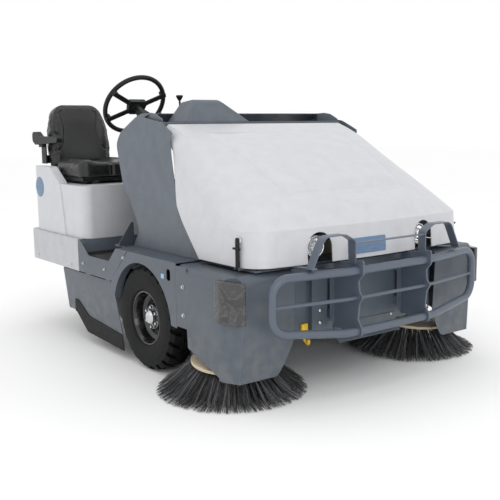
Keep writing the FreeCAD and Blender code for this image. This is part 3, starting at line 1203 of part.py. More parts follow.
def save_all():
    right = -1
    front_x = WHEEL_OUT - TYRE_W / 2
    save("main_frame", main_frame())
    save("hub_motors", hub_motors())
    save("wheel_arch_panels", both_sides(wheel_arch_panel()))
    save("step_panels", both_sides(step_panel()))
    save("corner_skirts", both_sides(corner_skirt()))
    save("corner_pads", both_sides(corner_pad()))
    save("operator_floor", operator_floor())
    save("rear_deck_cover", rear_deck_cover())
    save("body_bolts", body_bolts())
    save("cowl", cowl())
    save("dash_pod", dash_pod())
    for name, side in (("left", 1), ("right", right)):
        save("front_tyre_" + name, tyre(side * front_x, WHEEL_Y, WHEEL_R, TYRE_W, RIM_R))
        save("front_rim_" + name, rim(side * front_x, WHEEL_Y, WHEEL_R, TYRE_W, RIM_R, side))
        save("hub_cap_" + name, hub_cap(side * front_x, WHEEL_Y, WHEEL_R, TYRE_W, side))
    save("rear_fork", rear_fork())
    save("rear_tyre", tyre(0, REAR_WHEEL_Y, REAR_WHEEL_R, REAR_TYRE_W, RIM_R - 14))
    save("rear_rim", rear_rim())
    save("main_broom_arms", main_broom_arms())
    save("main_broom_core", main_broom_core())
    save("main_broom_bristles", main_broom_bristles())
    save("broom_housing", broom_housing())
    for name, place in (("left", lambda s: s), ("right", mirrored)):
        save("side_broom_arm_" + name, place(side_broom_arm()))
        save("side_broom_disc_" + name, place(side_broom_disc()))
        save("side_broom_bristles_" + name, place(side_broom_bristles()))
        save("broom_door_" + name, place(broom_door()))
        save("door_skirt_" + name, place(door_skirt()))
        save("draw_latch_" + name, place(draw_latch()))
    save("lift_arms", lift_arms())
    save("hopper_bin", hopper_bin())
    save("hopper_front_panel", hopper_front_panel())
    save("dust_filter", dust_filter())
    save("safety_hook", safety_hook())
    save("bumper_ribs", bumper_ribs())
    save("bumper_tubes", bumper_tubes())
    save("lamp_guards", lamp_guards())
    save("headlamp_housings", Part.makeCompound([headlamp_housing(x) for x in (-LAMP_X, LAMP_X)]))
    save("headlamp_lenses", Part.makeCompound([headlamp_lens(x) for x in (-LAMP_X, LAMP_X)]))
    save("hopper_hood", hopper_hood())
    save("name_plate", name_plate())
    save("steering_wheel", steering_wheel())
    save("steering_column", steering_column())
    save("control_lever", control_lever())
    save("drive_pedal", pedal(DRIVE_PEDAL_X, 70, DRIVE_PEDAL_L))
    save("brake_pedal", pedal(BRAKE_PEDAL_X, 90, BRAKE_PEDAL_L))
    save("engine_hood", engine_hood())
    save("engine", engine())
    save("tanks", tanks())
    save("seat_cushion", seat_cushion())
    save("seat_back", seat_back())
    save("seat_base", seat_base())
    save("armrest", armrest())


save_all()
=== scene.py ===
# %% [markdown]
# # A ride-on sweeper, finished around its CAD frame
# The machine is an industrial floor sweeper: three rubber-tyred wheels, two flared side brooms, a long
# moulded hood over the debris hopper, a grey cowl in front of the driver and a tubular bumper across the
# nose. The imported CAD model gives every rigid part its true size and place. This lesson adds what CAD
# leaves out: bristles, padded vinyl, lamp optics, the hood's raised panel and rim seal, and a finish for
# every surface.

# %% load the frame
import json
import math
import random

import bmesh
import bpy
import numpy as np
from mathutils import Matrix, Vector
from mathutils.bvhtree import BVHTree


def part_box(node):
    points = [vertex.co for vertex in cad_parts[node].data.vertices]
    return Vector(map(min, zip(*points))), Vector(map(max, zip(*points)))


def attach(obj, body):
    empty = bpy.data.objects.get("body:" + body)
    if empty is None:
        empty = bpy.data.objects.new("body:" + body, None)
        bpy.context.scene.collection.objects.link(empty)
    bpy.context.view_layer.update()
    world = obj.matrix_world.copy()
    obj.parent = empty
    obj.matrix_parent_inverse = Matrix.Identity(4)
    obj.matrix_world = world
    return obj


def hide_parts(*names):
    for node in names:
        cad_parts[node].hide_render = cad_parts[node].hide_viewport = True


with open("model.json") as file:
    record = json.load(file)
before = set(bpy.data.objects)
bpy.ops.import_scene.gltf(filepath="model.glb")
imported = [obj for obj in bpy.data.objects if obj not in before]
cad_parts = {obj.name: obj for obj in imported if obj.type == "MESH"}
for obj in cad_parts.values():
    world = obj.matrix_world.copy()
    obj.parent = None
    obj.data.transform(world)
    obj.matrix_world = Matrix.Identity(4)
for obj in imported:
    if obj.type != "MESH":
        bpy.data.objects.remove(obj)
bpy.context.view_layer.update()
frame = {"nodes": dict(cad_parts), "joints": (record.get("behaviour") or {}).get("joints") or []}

NODES = frame["nodes"]
JOINTS = {joint["name"]: joint for joint in frame["joints"]}
SIDES = (("left", 1), ("right", -1))  # the driver's left is +X
scene = bpy.context.scene
scene.view_settings.view_transform = "Standard"

# %% [markdown]
# ## The camera
# The machine is seen from a few metres away through a short telephoto lens, at chest height, looking
# slightly down. Yaw, pitch and roll turn one direction and two side vectors, and the camera's matrix is
# made from them.

# %% place the camera
CAMERA_PLACE = Vector((-2.710, -3.7045, 1.223))
YAW, PITCH, ROLL = (math.radians(a) for a in (36.78, 8.80, -0.69))
LENS_MM, FILM_MM = 57.5, 36


def camera_axes():
    ahead = Vector((math.sin(YAW) * math.cos(PITCH), math.cos(YAW) * math.cos(PITCH),
                    -math.sin(PITCH)))
    level = Vector((math.cos(YAW), -math.sin(YAW), 0))
    upright = level.cross(ahead)
    right = math.cos(ROLL) * level + math.sin(ROLL) * upright
    up = math.cos(ROLL) * upright - math.sin(ROLL) * level
    return right, up, -ahead


camera_data = bpy.data.cameras.new("camera")
camera_data.lens = LENS_MM
camera_data.sensor_width = FILM_MM
camera = bpy.data.objects.new("camera", camera_data)
scene.collection.objects.link(camera)
camera.matrix_world = Matrix.Translation(CAMERA_PLACE) @ Matrix(camera_axes()).transposed().to_4x4()
scene.camera = camera
print("camera at", tuple(round(c, 2) for c in CAMERA_PLACE))

# %% [markdown]
# ## The studio
# A white sweep of floor and a white surrounding light give soft, even shading. Big area lamps act
# as softboxes: the strongest in front for the nose and hood, a weaker one high up, so that the sloping hood
# top stays a little darker than its nose, and a faint one at the driver's right for the long side.

# %% light the studio


def colour(code):
    """An sRGB hex colour as linear RGBA."""
    parts = [int(code[i:i + 2], 16) / 255 for i in (1, 3, 5)]
    return tuple(c / 12.92 if c <= 0.04045 else ((c + 0.055) / 1.055) ** 2.4 for c in parts) + (1.0,)


def softbox(name, place, aim, size, watts):
    lamp = bpy.data.lights.new(name, "AREA")
    lamp.shape, lamp.size, lamp.energy = "SQUARE", size, watts
    holder = bpy.data.objects.new(name, lamp)
    scene.collection.objects.link(holder)
    holder.location = place
    holder.rotation_euler = (Vector(aim) - Vector(place)).to_track_quat("-Z", "Y").to_euler()


world = bpy.data.worlds.new("studio")
scene.world = world
world.use_nodes = True
backdrop = world.node_tree.nodes["Background"]
backdrop.inputs["Color"].default_value = colour("#FFFFFF")
backdrop.inputs["Strength"].default_value = 1.0
softbox("softbox_front", (-2.4, -6.4, 3.0), (0, -0.6, 0.6), 3.2, 60)
softbox("softbox_side", (-6.0, 0.6, 2.6), (0, 0.4, 0.6), 2.6, 8)
softbox("softbox_top", (0.4, 0.2, 5.6), (0, 0, 0.6), 4.5, 24)

# %% [markdown]
# ## One helper for shader nodes
# Every finish below is a small node tree. One function adds a node, sets its values and joins its inputs,
# so that a recipe reads as a list of steps. A value that is the same all over the surface goes straight on
# the shader.

# %% the node helper and a new finish


def add(tree, kind, values=None, links=None):
    """Adds a node. values are attributes or inputs, links are inputs and the sockets that feed them."""
    node = tree.nodes.new("ShaderNode" + kind)
    for name, value in (values or {}).items():
        if isinstance(name, str) and hasattr(node, name):
            setattr(node, name, value)
        else:
            node.inputs[name].default_value = value
    for name, source in (links or {}).items():
        tree.links.new(source, node.inputs[name])
    return node


def new_finish(name, **sockets):
    """An empty material with its shader's even values set. A socket's name is written with _ for a space."""
    material = bpy.data.materials.new(name)
    material.use_nodes = True
    tree = material.node_tree
    shader = tree.nodes["Principled BSDF"]
    for socket, value in sockets.items():
        shader.inputs[socket.replace("_", " ")].default_value = value
    place = add(tree, "TexCoord").outputs["Object"]
    return material, tree, shader, place


def ramp(tree, source, stops):
    """A colour ramp: stops are (position, hex colour)."""
    node = add(tree, "ValToRGB", {}, {"Fac": source})
    band = node.color_ramp
    while len(band.elements) < len(stops):
        band.elements.new(0.5)
    for element, (position, code) in zip(band.elements, stops):
        element.position, element.color = position, colour(code)
    return node.outputs["Color"]


def spread(tree, source, low, high, to_low=0.0, to_high=1.0):
    """Maps a value from one range to another."""
    limits = {"From Min": low, "From Max": high, "To Min": to_low, "To Max": to_high}
    return add(tree, "MapRange", limits, {"Value": source}).outputs["Result"]


def calc(tree, operation, first, second=None, kind="Math", result="Value"):
    """A math node's result. second is a value, a socket, or None if the operation takes one value."""
    values, links = {"operation": operation}, {0: first}
    if isinstance(second, bpy.types.NodeSocket):
        links[1] = second
    elif second is not None:
        values[1] = second
    return add(tree, kind, values, links).outputs[result]


def axis_value(tree, vector, axis):
    return add(tree, "SeparateXYZ", {}, {0: vector}).outputs[axis]


def mixed(tree, share, first, second):
    """Mixes two colours. Each is a socket or a hex colour, and share is a socket or a number."""
    node = add(tree, "Mix", {"data_type": "RGBA"})
    for socket, value in ((node.inputs[0], share), (node.inputs[6], first), (node.inputs[7], second)):
        if isinstance(value, bpy.types.NodeSocket):
            tree.links.new(value, socket)
        else:
            socket.default_value = colour(value) if isinstance(value, str) else value
    return node.outputs[2]


def noise(tree, place, size_mm, detail=2.0, roughness=0.5):
    """Noise whose blotches are about size_mm across."""
    values = {"Scale": 1000 / size_mm, "Detail": detail, "Roughness": roughness}
    return add(tree, "TexNoise", values, {"Vector": place}).outputs["Fac"]


def rounded_normal(tree, radius_mm):
    """The normal of an edge that is broken by a small radius, and a mask that is 1 on such edges."""
    bevel = add(tree, "Bevel", {"samples": 4, "Radius": radius_mm / 1000}).outputs["Normal"]
    flat = add(tree, "NewGeometry").outputs["Normal"]
    return bevel, spread(tree, calc(tree, "DOT_PRODUCT", bevel, flat, "VectorMath"), 0.995, 0.90)


def rubbed_and_highlit(tree, rim, share, body, edge):
    """Lays the edge's colour on the body's where the rim mask is: partly edge wear, partly a painted
    highlight along the edges.
    """
    return mixed(tree, calc(tree, "MULTIPLY", rim, share), body, edge)


def relief(tree, height, depth_mm, normal=None, strength=1.0):
    """Bumps whose height runs from 0 to depth_mm."""
    links = {"Height": height} if normal is None else {"Height": height, "Normal": normal}
    values = {"Strength": strength, "Distance": depth_mm / 1000}
    return add(tree, "Bump", values, links).outputs["Normal"]


def join_up(tree, shader, **sources):
    for socket, source in sources.items():
        tree.links.new(source, shader.inputs[socket.replace("_", " ")])


def dress(material, *names):
    """Gives CAD nodes their finish."""
    for name in names:
        NODES[name].data.materials.clear()
        NODES[name].data.materials.append(material)



# %% [markdown]
# ## Powder-coated steel
# The skirts, bumper, door and frame are folded steel sheet with a baked polyester powder. Powder flows out
# into a fine orange peel about 1.5 mm across, too fine to show at this distance, so it is drawn at 5 mm.
# The coat thins at a fold and gets worn there, so a bevel mask lightens the edges: partly that wear and
# partly a painted highlight where the edges catch the light. Near the floor the wind of the brooms leaves
# pale dust, which a height gradient times noise lays on. Polyester has an IOR of about 1.5.

# %% finish: powder coat
DUST_TOP, DUST_FULL = 0.50, 0.05  # heights where dust starts and where it is thickest


def powder_coat(name, base, roughness, edge, dust=0.35, dark=None):
    material, tree, shader, place = new_finish(name, IOR=1.5, Coat_Weight=0.08, Coat_Roughness=0.3)
    normal, rim = rounded_normal(tree, 2.5)
    cloud = noise(tree, place, 420, 3.0)
    body = mixed(tree, spread(tree, cloud, 0.35, 0.7), base, dark or base)
    scuffs = noise(tree, place, 26, 6.0, 0.7)
    body = mixed(tree, spread(tree, scuffs, 0.60, 0.75, 0.0, 0.16), body, edge)
    # painted highlight and wear: the rim mask lightens the folded edges towards the edge colour
    body = rubbed_and_highlit(tree, rim, 0.75, body, edge)
    low = spread(tree, axis_value(tree, place, "Z"), DUST_TOP, DUST_FULL, 0.0, dust)
    dusty = calc(tree, "MULTIPLY", low, spread(tree, noise(tree, place, 60, 5.0), 0.4, 0.7))
    body = mixed(tree, dusty, body, "#8E8C86")
    peel = noise(tree, place, 5, 1.0)
    rough = spread(tree, scuffs, 0.3, 0.7, roughness - 0.06, roughness + 0.08)
    join_up(tree, shader, Base_Color=body, Roughness=rough, Normal=relief(tree, peel, 0.12, normal))
    return material


coat_grey = powder_coat("powder_coat_slate_grey", "#525A63", 0.42, "#757D87", dark="#4C545D")
coat_bumper = powder_coat("powder_coat_bumper_grey", "#545D6A", 0.34, "#838C98", dust=0.1)
coat_frame = powder_coat("powder_coat_frame_grey", "#3E444C", 0.48, "#6A7078", dust=0.5)
coat_hopper = powder_coat("powder_coat_hopper_grey", "#4C555F", 0.40, "#737B86", dust=0.25)
coat_yellow = powder_coat("gloss_safety_yellow", "#E3B808", 0.35, "#F2D868", dust=0.2)
dress(coat_grey, "wheel_arch_panels", "step_panels", "corner_skirts", "broom_door_left",
      "broom_door_right")
dress(coat_bumper, "bumper_ribs", "bumper_tubes", "lamp_guards")
dress(coat_frame, "main_frame", "rear_fork", "main_broom_arms", "broom_housing", "lift_arms",
      "side_broom_arm_left", "side_broom_arm_right")
dress(coat_hopper, "hopper_bin", "hopper_front_panel")
dress(coat_yellow, "safety_hook")

# %% [markdown]
# ## Rotomoulded covers
# The hood, the engine cover and the cowl are hollow polyethylene mouldings, spun in a hot mould. The skin
# is waxy: low gloss with a soft sheen, IOR 1.51, and a faint mottle a few centimetres across where the wall
# cooled unevenly. The mould's blasted face leaves a grain of about 1 mm, drawn here at 3 mm so that it
# shows.

# %% finish: rotomoulded polyethylene


def rotomoulded(name, base, shade, roughness, grain_depth, edge, bevel_mm=4.0):
    material, tree, shader, place = new_finish(name, IOR=1.51)
    normal, rim = rounded_normal(tree, bevel_mm)
    mottle = noise(tree, place, 70, 3.0, 0.55)
    body = mixed(tree, spread(tree, mottle, 0.35, 0.68), base, shade)
    # painted highlight and wear: the rim mask lightens the moulding's edges towards the edge colour
    body = rubbed_and_highlit(tree, rim, 0.45, body, edge)
    stretched = add(tree, "Mapping", {"Scale": (0.25, 1.0, 5.0)}, {"Vector": place}).outputs[0]
    scratches = add(tree, "TexNoise", {"Scale": 55.0, "Detail": 2.0}, {"Vector": stretched})
    rough = spread(tree, scratches.outputs["Fac"], 0.3, 0.7, roughness - 0.05, roughness + 0.09)
    grain = relief(tree, noise(tree, place, 3, 2.0), grain_depth, normal)
    join_up(tree, shader, Base_Color=body, Roughness=rough, Normal=grain)
    return material


hood_white = rotomoulded("rotomoulded_light_grey", "#CACBCF", "#C5C6CA", 0.36, 0.04, "#E6E7EA")
cowl_slate = rotomoulded("rotomoulded_slate_grey", "#626972", "#5B626B", 0.46, 0.10, "#7F8791")
dress(hood_white, "hopper_hood", "engine_hood")
dress(cowl_slate, "cowl", "dash_pod")

# %% [markdown]
# ### Two finishes on one casting
# The rear skirt and its bumper strip are one CAD node, and so are the foot plate and the console. The recipe
# picks a finish by where the point lies, which needs no second mesh: the strip is behind the skirt, and the
# plate is below the console.

# %% finish: skirt with a rubber strip, floor with a ribbed mat


def split_by_place(name, axis, limit, first, second, first_rough, second_rough, grain_mm, depth_mm):
    """first is used below limit on that axis, and second above it. Each is a pair of mottled colours."""
    material, tree, shader, place = new_finish(name, IOR=1.5)
    normal, rim = rounded_normal(tree, 3)
    over = calc(tree, "GREATER_THAN", axis_value(tree, place, axis), limit)
    mottle = spread(tree, noise(tree, place, 60, 4.0), 0.35, 0.68)
    low, high = (mixed(tree, mottle, a, b) for a, b in (first, second))
    body = mixed(tree, over, low, high)
    # painted highlight and wear: the rim mask lays a pale grey on the edges of both finishes
    body = rubbed_and_highlit(tree, rim, 0.3, body, "#D8D9DC")
    rough = spread(tree, over, 0.0, 1.0, first_rough, second_rough)
    grain = relief(tree, noise(tree, place, grain_mm, 2.0), depth_mm, normal)
    join_up(tree, shader, Base_Color=body, Roughness=rough, Normal=grain)
    return material


STRIP_DEPTH, PLATE_DEPTH = 0.0225, 0.026
bumper_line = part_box("rear_deck_cover")[1].y - STRIP_DEPTH
skirt_and_strip = split_by_place("light_grey_skirt_black_strip", "Y", bumper_line, ("#BDBEC2", "#B5B6BB"),
                                 ("#1C1D1E", "#252628"), 0.45, 0.6, 3, 0.06)
dress(skirt_and_strip, "rear_deck_cover")
plate_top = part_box("operator_floor")[0].z + PLATE_DEPTH
mat_and_console = split_by_place("rubber_mat_grey_console", "Z", plate_top, ("#2B2C2E", "#3A3A39"),
                                 ("#5F6772", "#666E79"), 0.75, 0.45, 4, 0.25)
dress(mat_and_console, "operator_floor")

# %% [markdown]
# ## Rubber
# Tyre rubber is filled with carbon black: nearly black when new, IOR 1.52, dull, and grey where a thin bloom
# and floor dust sit. A tyre's sidewall carries fine concentric ridges from the mould, 6 mm apart here. They
# are drawn from the distance to the wheel's axle, which is the length of a point's offset from the centre in
# the wheel's plane.

# %% finish: tyre rubber and moulded rubber
RIDGE_PITCH = 0.006
FRONT_SIDEWALL, REAR_SIDEWALL = 0.222, 0.205  # the ridges end at these radii


def tyre_rubber(name, axle, sidewall):
    material, tree, shader, place = new_finish(name, IOR=1.52, Specular_IOR_Level=0.25)
    offset = calc(tree, "SUBTRACT", place, (0, axle.y, axle.z), "VectorMath", "Vector")
    flat = calc(tree, "MULTIPLY", offset, (0, 1, 1), "VectorMath", "Vector")
    reach = calc(tree, "LENGTH", flat, kind="VectorMath")
    ridges = calc(tree, "SINE", calc(tree, "MULTIPLY", reach, 2 * math.pi / RIDGE_PITCH))
    ridge = calc(tree, "MULTIPLY", ridges, calc(tree, "LESS_THAN", reach, sidewall))
    normal, rim = rounded_normal(tree, 3)
    dust = noise(tree, place, 45, 6.0, 0.65)
    body = mixed(tree, spread(tree, dust, 0.42, 0.72, 0.0, 0.75), "#121314", "#232322")
    # painted highlight and wear: the rim mask lightens the tyre's edges
    body = rubbed_and_highlit(tree, rim, 0.5, body, "#2E2D2C")
    rough = spread(tree, dust, 0.3, 0.7, 0.62, 0.86)
    fine = relief(tree, noise(tree, place, 4, 3.0), 0.2, normal)
    join_up(tree, shader, Base_Color=body, Roughness=rough, Normal=relief(tree, ridge, 0.5, fine, 0.6))
    return material


def moulded_rubber(name, base, worn, roughness=0.62, grain_mm=4):
    material, tree, shader, place = new_finish(name, IOR=1.52, Specular_IOR_Level=0.3)
    normal, rim = rounded_normal(tree, 1.5)
    wear = noise(tree, place, 30, 5.0, 0.6)
    body = mixed(tree, spread(tree, wear, 0.4, 0.7, 0.0, 0.8), base, worn)
    # painted highlight and wear: the rim mask lays grey on the black edges
    body = rubbed_and_highlit(tree, rim, 0.4, body, "#5A5A5A")
    rough = spread(tree, wear, 0.3, 0.7, roughness - 0.08, roughness + 0.12)
    grain = relief(tree, noise(tree, place, grain_mm, 2.0), 0.15, normal)
    join_up(tree, shader, Base_Color=body, Roughness=rough, Normal=grain)
    return material


front_axle = Vector(JOINTS["front_wheel_left_spin"]["pos_m"])
rear_axle = Vector(JOINTS["rear_wheel_spin"]["pos_m"])
dress(tyre_rubber("tyre_rubber_front", front_axle, FRONT_SIDEWALL), "front_tyre_left", "front_tyre_right")
dress(tyre_rubber("tyre_rubber_rear", rear_axle, REAR_SIDEWALL), "rear_tyre")
black_rubber = moulded_rubber("moulded_black_rubber", "#101112", "#1B1C1D")
dress(black_rubber, "door_skirt_left", "door_skirt_right", "draw_latch_left", "draw_latch_right",
      "drive_pedal", "brake_pedal")

# %% [markdown]
# ## Black mouldings, enamel and bright metal
# The steering wheel is grained polyurethane, the rims are dipped in black gloss enamel, and the hub caps,
# nuts and bolts are zinc-plated steel: a metal, so its colour is its reflectance and its IOR stays at the
# default.

# %% finish: mouldings, enamel, zinc, cast iron
black_moulding = moulded_rubber("grained_black_polyurethane", "#111213", "#1B1C1D", 0.42, 3)
dress(black_moulding, "steering_wheel", "steering_column", "control_lever", "headlamp_housings",
      "seat_base", "armrest", "main_broom_core", "tanks")


def black_enamel():
    material, tree, shader, place = new_finish("gloss_black_enamel", IOR=1.5, Coat_Weight=0.5,
                                               Coat_Roughness=0.08)
    normal, _ = rounded_normal(tree, 2)
    dust = noise(tree, place, 35, 5.0, 0.6)
    body = mixed(tree, spread(tree, dust, 0.48, 0.75, 0.0, 0.55), "#0D0E0F", "#3C3C3B")
    rough = spread(tree, dust, 0.35, 0.7, 0.14, 0.42)
    join_up(tree, shader, Base_Color=body, Roughness=rough, Normal=normal)
    return material


def plated_metal(name, base, stain, roughness):
    material, tree, shader, place = new_finish(name, Metallic=1.0)
    normal, _ = rounded_normal(tree, 1)
    cloud = noise(tree, place, 14, 4.0)
    body = mixed(tree, spread(tree, cloud, 0.45, 0.75, 0.0, 0.6), base, stain)
    rough = spread(tree, cloud, 0.3, 0.7, roughness - 0.05, roughness + 0.12)
    grain = relief(tree, noise(tree, place, 2, 1.0), 0.03, normal)
    join_up(tree, shader, Base_Color=body, Roughness=rough, Normal=grain)
    return material


rim_enamel = black_enamel()
bright_zinc = plated_metal("bright_zinc_plate", "#D2D4D6", "#A9ABAB", 0.22)
bare_iron = plated_metal("bare_cast_iron", "#5C5E60", "#4A4743", 0.55)
lamp_chrome = plated_metal("vacuum_metallised_reflector", "#E6E7E8", "#DADCDD", 0.12)
dress(rim_enamel, "front_rim_left", "front_rim_right", "rear_rim")
dress(bright_zinc, "hub_cap_left", "hub_cap_right", "body_bolts")
dress(bare_iron, "engine", "hub_motors")

# %% [markdown]
# ## Plywood, filter paper, and the corner pads
# A side broom's bristles are stapled into a disc of birch plywood: cream veneers about 1.4 mm thick, drawn
# at 3 mm on the disc's rim so that the layers show, with long wavy grain on the faces. The corner pads are
# glossy dark moulded blocks whose colour carries lighter grey swirls.

# %% finish: birch plywood, pleated paper, grey-swirled gloss
VENEER_PAIR = 0.006  # a light and a dark layer together


def birch_plywood():
    material, tree, shader, place = new_finish("varnished_birch_plywood", IOR=1.5)
    normal, _ = rounded_normal(tree, 1.5)
    stretched = add(tree, "Mapping", {"Scale": (1.0, 9.0, 9.0)}, {"Vector": place}).outputs[0]
    wavy = {"Scale": 14.0, "Detail": 6.0, "Distortion": 1.2}
    grain = add(tree, "TexNoise", wavy, {"Vector": stretched}).outputs["Fac"]
    layers = calc(tree, "MULTIPLY", axis_value(tree, place, "Z"), 2 * math.pi / VENEER_PAIR)
    veneer = calc(tree, "SINE", layers)
    body = ramp(tree, grain, [(0.30, "#E6DCC6"), (0.52, "#DCCFB4"), (0.70, "#C4B08C")])
    upright = axis_value(tree, add(tree, "NewGeometry").outputs["Normal"], "Z")
    side = spread(tree, calc(tree, "ABSOLUTE", upright), 0.8, 0.4, 0.0, 0.5)
    band = calc(tree, "MULTIPLY", side, spread(tree, veneer, -0.2, 0.6))
    body = mixed(tree, band, body, "#A58F68")
    join_up(tree, shader, Base_Color=body, Roughness=spread(tree, grain, 0.3, 0.7, 0.42, 0.60),
            Normal=relief(tree, grain, 0.3, normal))
    return material


def filter_paper():
    material, tree, shader, place = new_finish("pleated_filter_paper", IOR=1.45, Sheen_Weight=0.3)
    fibre = noise(tree, place, 6, 5.0, 0.7)
    body = mixed(tree, spread(tree, fibre, 0.35, 0.7), "#CFC7B2", "#A59C88")
    join_up(tree, shader, Base_Color=body, Roughness=spread(tree, fibre, 0.3, 0.7, 0.8, 0.95),
            Normal=relief(tree, fibre, 0.4))
    return material


def grey_swirled_gloss():
    material, tree, shader, place = new_finish("dark_gloss_grey_swirls", IOR=1.53, Coat_Weight=0.6,
                                               Coat_Roughness=0.06)
    normal, _ = rounded_normal(tree, 4)
    twisted = {"Scale": 9.0, "Detail": 9.0, "Roughness": 0.68, "Distortion": 2.2}
    swirl = add(tree, "TexNoise", twisted, {"Vector": place}).outputs["Fac"]
    # the ramp sets lighter grey swirls into the dark base colour
    body = ramp(tree, swirl, [(0.30, "#121214"), (0.46, "#242426"), (0.50, "#4A494C"), (0.54, "#28282A"),
                              (0.72, "#333335")])
    rough = spread(tree, swirl, 0.3, 0.7, 0.16, 0.32)
    join_up(tree, shader, Base_Color=body, Roughness=rough, Normal=normal)
    return material


dress(birch_plywood(), "side_broom_disc_left", "side_broom_disc_right")
dress(filter_paper(), "dust_filter")
dress(grey_swirled_gloss(), "corner_pads")
plate_blue = rotomoulded("blank_plate_blue_grey", "#6480A0", "#5D7896", 0.28, 0.01, "#93A9C0", 1.0)
dress(plate_blue, "name_plate")

# %% [markdown]
# ## Ways to make a piece
# Three makers cover most of the trim. One builds a mesh from points and faces, one sweeps an outline along a
# path, as an extruder does with a rubber seal, and one turns a profile round an axis, as a lathe does.

# %% makers of meshes


def make_piece(name, points, faces, body, material, smooth=True):
    mesh = bpy.data.meshes.new(name)
    mesh.from_pydata([tuple(p) for p in points], [], [tuple(f) for f in faces])
    mesh.validate()
    mesh.update()
    mesh.materials.append(material)
    if smooth:
        mesh.shade_smooth()
    piece = bpy.data.objects.new(name, mesh)
    scene.collection.objects.link(piece)
    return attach(piece, body)


def swept_mesh(path, outline, up=Vector((0, 0, 1))):
    """Points and faces of an outline (a, b) carried along a path, a across it and b along up."""
    count, sides = len(path), len(outline)
    points, faces = [], []
    for i, here in enumerate(path):
        before, after = path[max(i - 1, 0)], path[min(i + 1, count - 1)]
        ahead = (after - before).normalized()
        across = ahead.cross(up).normalized()
        lift = across.cross(ahead).normalized()
        points += [here + across * a + lift * b for a, b in outline]
    for start in range(0, (count - 1) * sides, sides):
        for k in range(sides):
            m = (k + 1) % sides
            faces.append((start + k, start + m, start + sides + m, start + sides + k))
    faces.append(tuple(range(sides)))
    faces.append(tuple(reversed(range((count - 1) * sides, count * sides))))
    return points, faces


def turned_mesh(profile, centre, axis, steps=48):
    """Points and faces of (radius, height) pairs turned about an axis. A radius of 0 closes an end."""
    axis = Vector(axis).normalized()
    across = axis.orthogonal().normalized()
    ahead = axis.cross(across)
    points, rings, faces = [], [], []
    for radius, height in profile:
        base = Vector(centre) + axis * height
        if radius == 0:
            rings.append([len(points)] * steps)
            points.append(base)
            continue
        rings.append(list(range(len(points), len(points) + steps)))
        for k in range(steps):
            turn = 2 * math.pi * k / steps
            points.append(base + (across * math.cos(turn) + ahead * math.sin(turn)) * radius)
    for low, high in zip(rings, rings[1:]):
        for k in range(steps):
            m = (k + 1) % steps
            face = []
            for corner in (low[k], low[m], high[m], high[k]):
                if corner not in face:
                    face.append(corner)
            if len(face) > 2:
                faces.append(face)
    return points, faces


def round_outline(radius, sides):
    turns = [2 * math.pi * k / sides for k in range(sides)]
    return [(radius * math.cos(turn), radius * math.sin(turn)) for turn in turns]


def block(low, high):
    """A box's points and faces."""
    points = [(x, y, z) for x in (low[0], high[0]) for y in (low[1], high[1]) for z in (low[2], high[2])]
    faces = [(0, 1, 3, 2), (4, 6, 7, 5), (0, 4, 5, 1), (2, 3, 7, 6), (0, 2, 6, 4), (1, 5, 7, 3)]
    return points, faces



# %% [markdown]
# ## Side brooms
# A side broom is a plywood disc with tufts of steel and polypropylene bristle that flare out to the floor.
# Each tuft holds twelve to seventeen filaments and splays as it goes down. Hair particles could draw them,
# but they wouldn't leave the script as a mesh. So each filament is a thin three-sided tube with its own
# bend, made with numpy because there are thousands, and the floor flattens the ones that reach it. Real
# ones are about 1.5 mm thick. These are 2.6 mm thick at the root and 1.8 mm at the tip, so that they show.

# %% filaments
THREE_SIDES = (0.0, 2.094, 4.189)  # the angles of a filament's corners


def filaments(name, paths, root_radius, tip_radius, body, material):
    """One mesh of thin three-sided tubes. paths is an array of filaments by points by xyz."""
    paths = np.asarray(paths, float)
    count, steps = paths.shape[:2]
    ahead = np.gradient(paths, axis=1)
    ahead /= np.linalg.norm(ahead, axis=2, keepdims=True)
    helper = np.array([0.13, 0.29, 0.95])
    across = np.cross(ahead, helper)
    across /= np.linalg.norm(across, axis=2, keepdims=True)
    lift = np.cross(ahead, across)
    radius = np.linspace(root_radius, tip_radius, steps)[None, :, None]
    corners = [paths + radius * (math.cos(a) * across + math.sin(a) * lift) for a in THREE_SIDES]
    points = np.stack(corners, axis=2).reshape(-1, 3)
    start = (np.arange(count)[:, None, None] * steps + np.arange(steps - 1)[None, :, None]) * 3
    side = np.arange(3)[None, None, :]
    nxt = (side + 1) % 3
    quads = np.stack([start + side, start + nxt, start + nxt + 3, start + side + 3], axis=3).reshape(-1, 4)
    roots = np.arange(count) * steps * 3
    caps = np.stack([roots + 2, roots + 1, roots], axis=1)
    tips = np.stack([roots, roots + 1, roots + 2], axis=1) + (steps - 1) * 3
    faces = [tuple(q) for q in quads.tolist()] + [tuple(c) for c in caps.tolist() + tips.tolist()]
    return make_piece(name, points.tolist(), faces, body, material)


def bristle_filament():
    """Black filament, each strand an island with its own tone; the pale grey strands are painted highlights.
    """
    material, tree, shader, place = new_finish("crimped_bristle_filament", IOR=1.49, Sheen_Weight=0.1)
    shade = add(tree, "NewGeometry").outputs["Random Per Island"]
    # the grey and pale grey stops paint highlights on a share of the strands
    body = ramp(tree, shade, [(0.0, "#17181A"), (0.55, "#2A2B2E"), (0.80, "#4A4B50"), (0.93, "#84868C"),
                              (1.0, "#A8AAAF")])
    body = mixed(tree, spread(tree, noise(tree, place, 20, 2.0), 0.3, 0.7, 0.0, 0.25), body, "#5D5B57")
    join_up(tree, shader, Base_Color=body, Roughness=spread(tree, shade, 0.0, 1.0, 0.36, 0.62),
            Normal=relief(tree, noise(tree, place, 6, 1.0), 0.2))
    return material


bristle = bristle_filament()
TUFT_RINGS = (  # root radius, tip radius, drop, tufts, filaments in a tuft, all in metres
    (0.181, 0.346, 0.142, 56, 17),
    (0.166, 0.312, 0.148, 50, 15),
    (0.148, 0.272, 0.149, 44, 14),
    (0.132, 0.232, 0.149, 36, 12),
)
LONGEST_REACH, LOWEST_TIP = 0.357, 0.0035


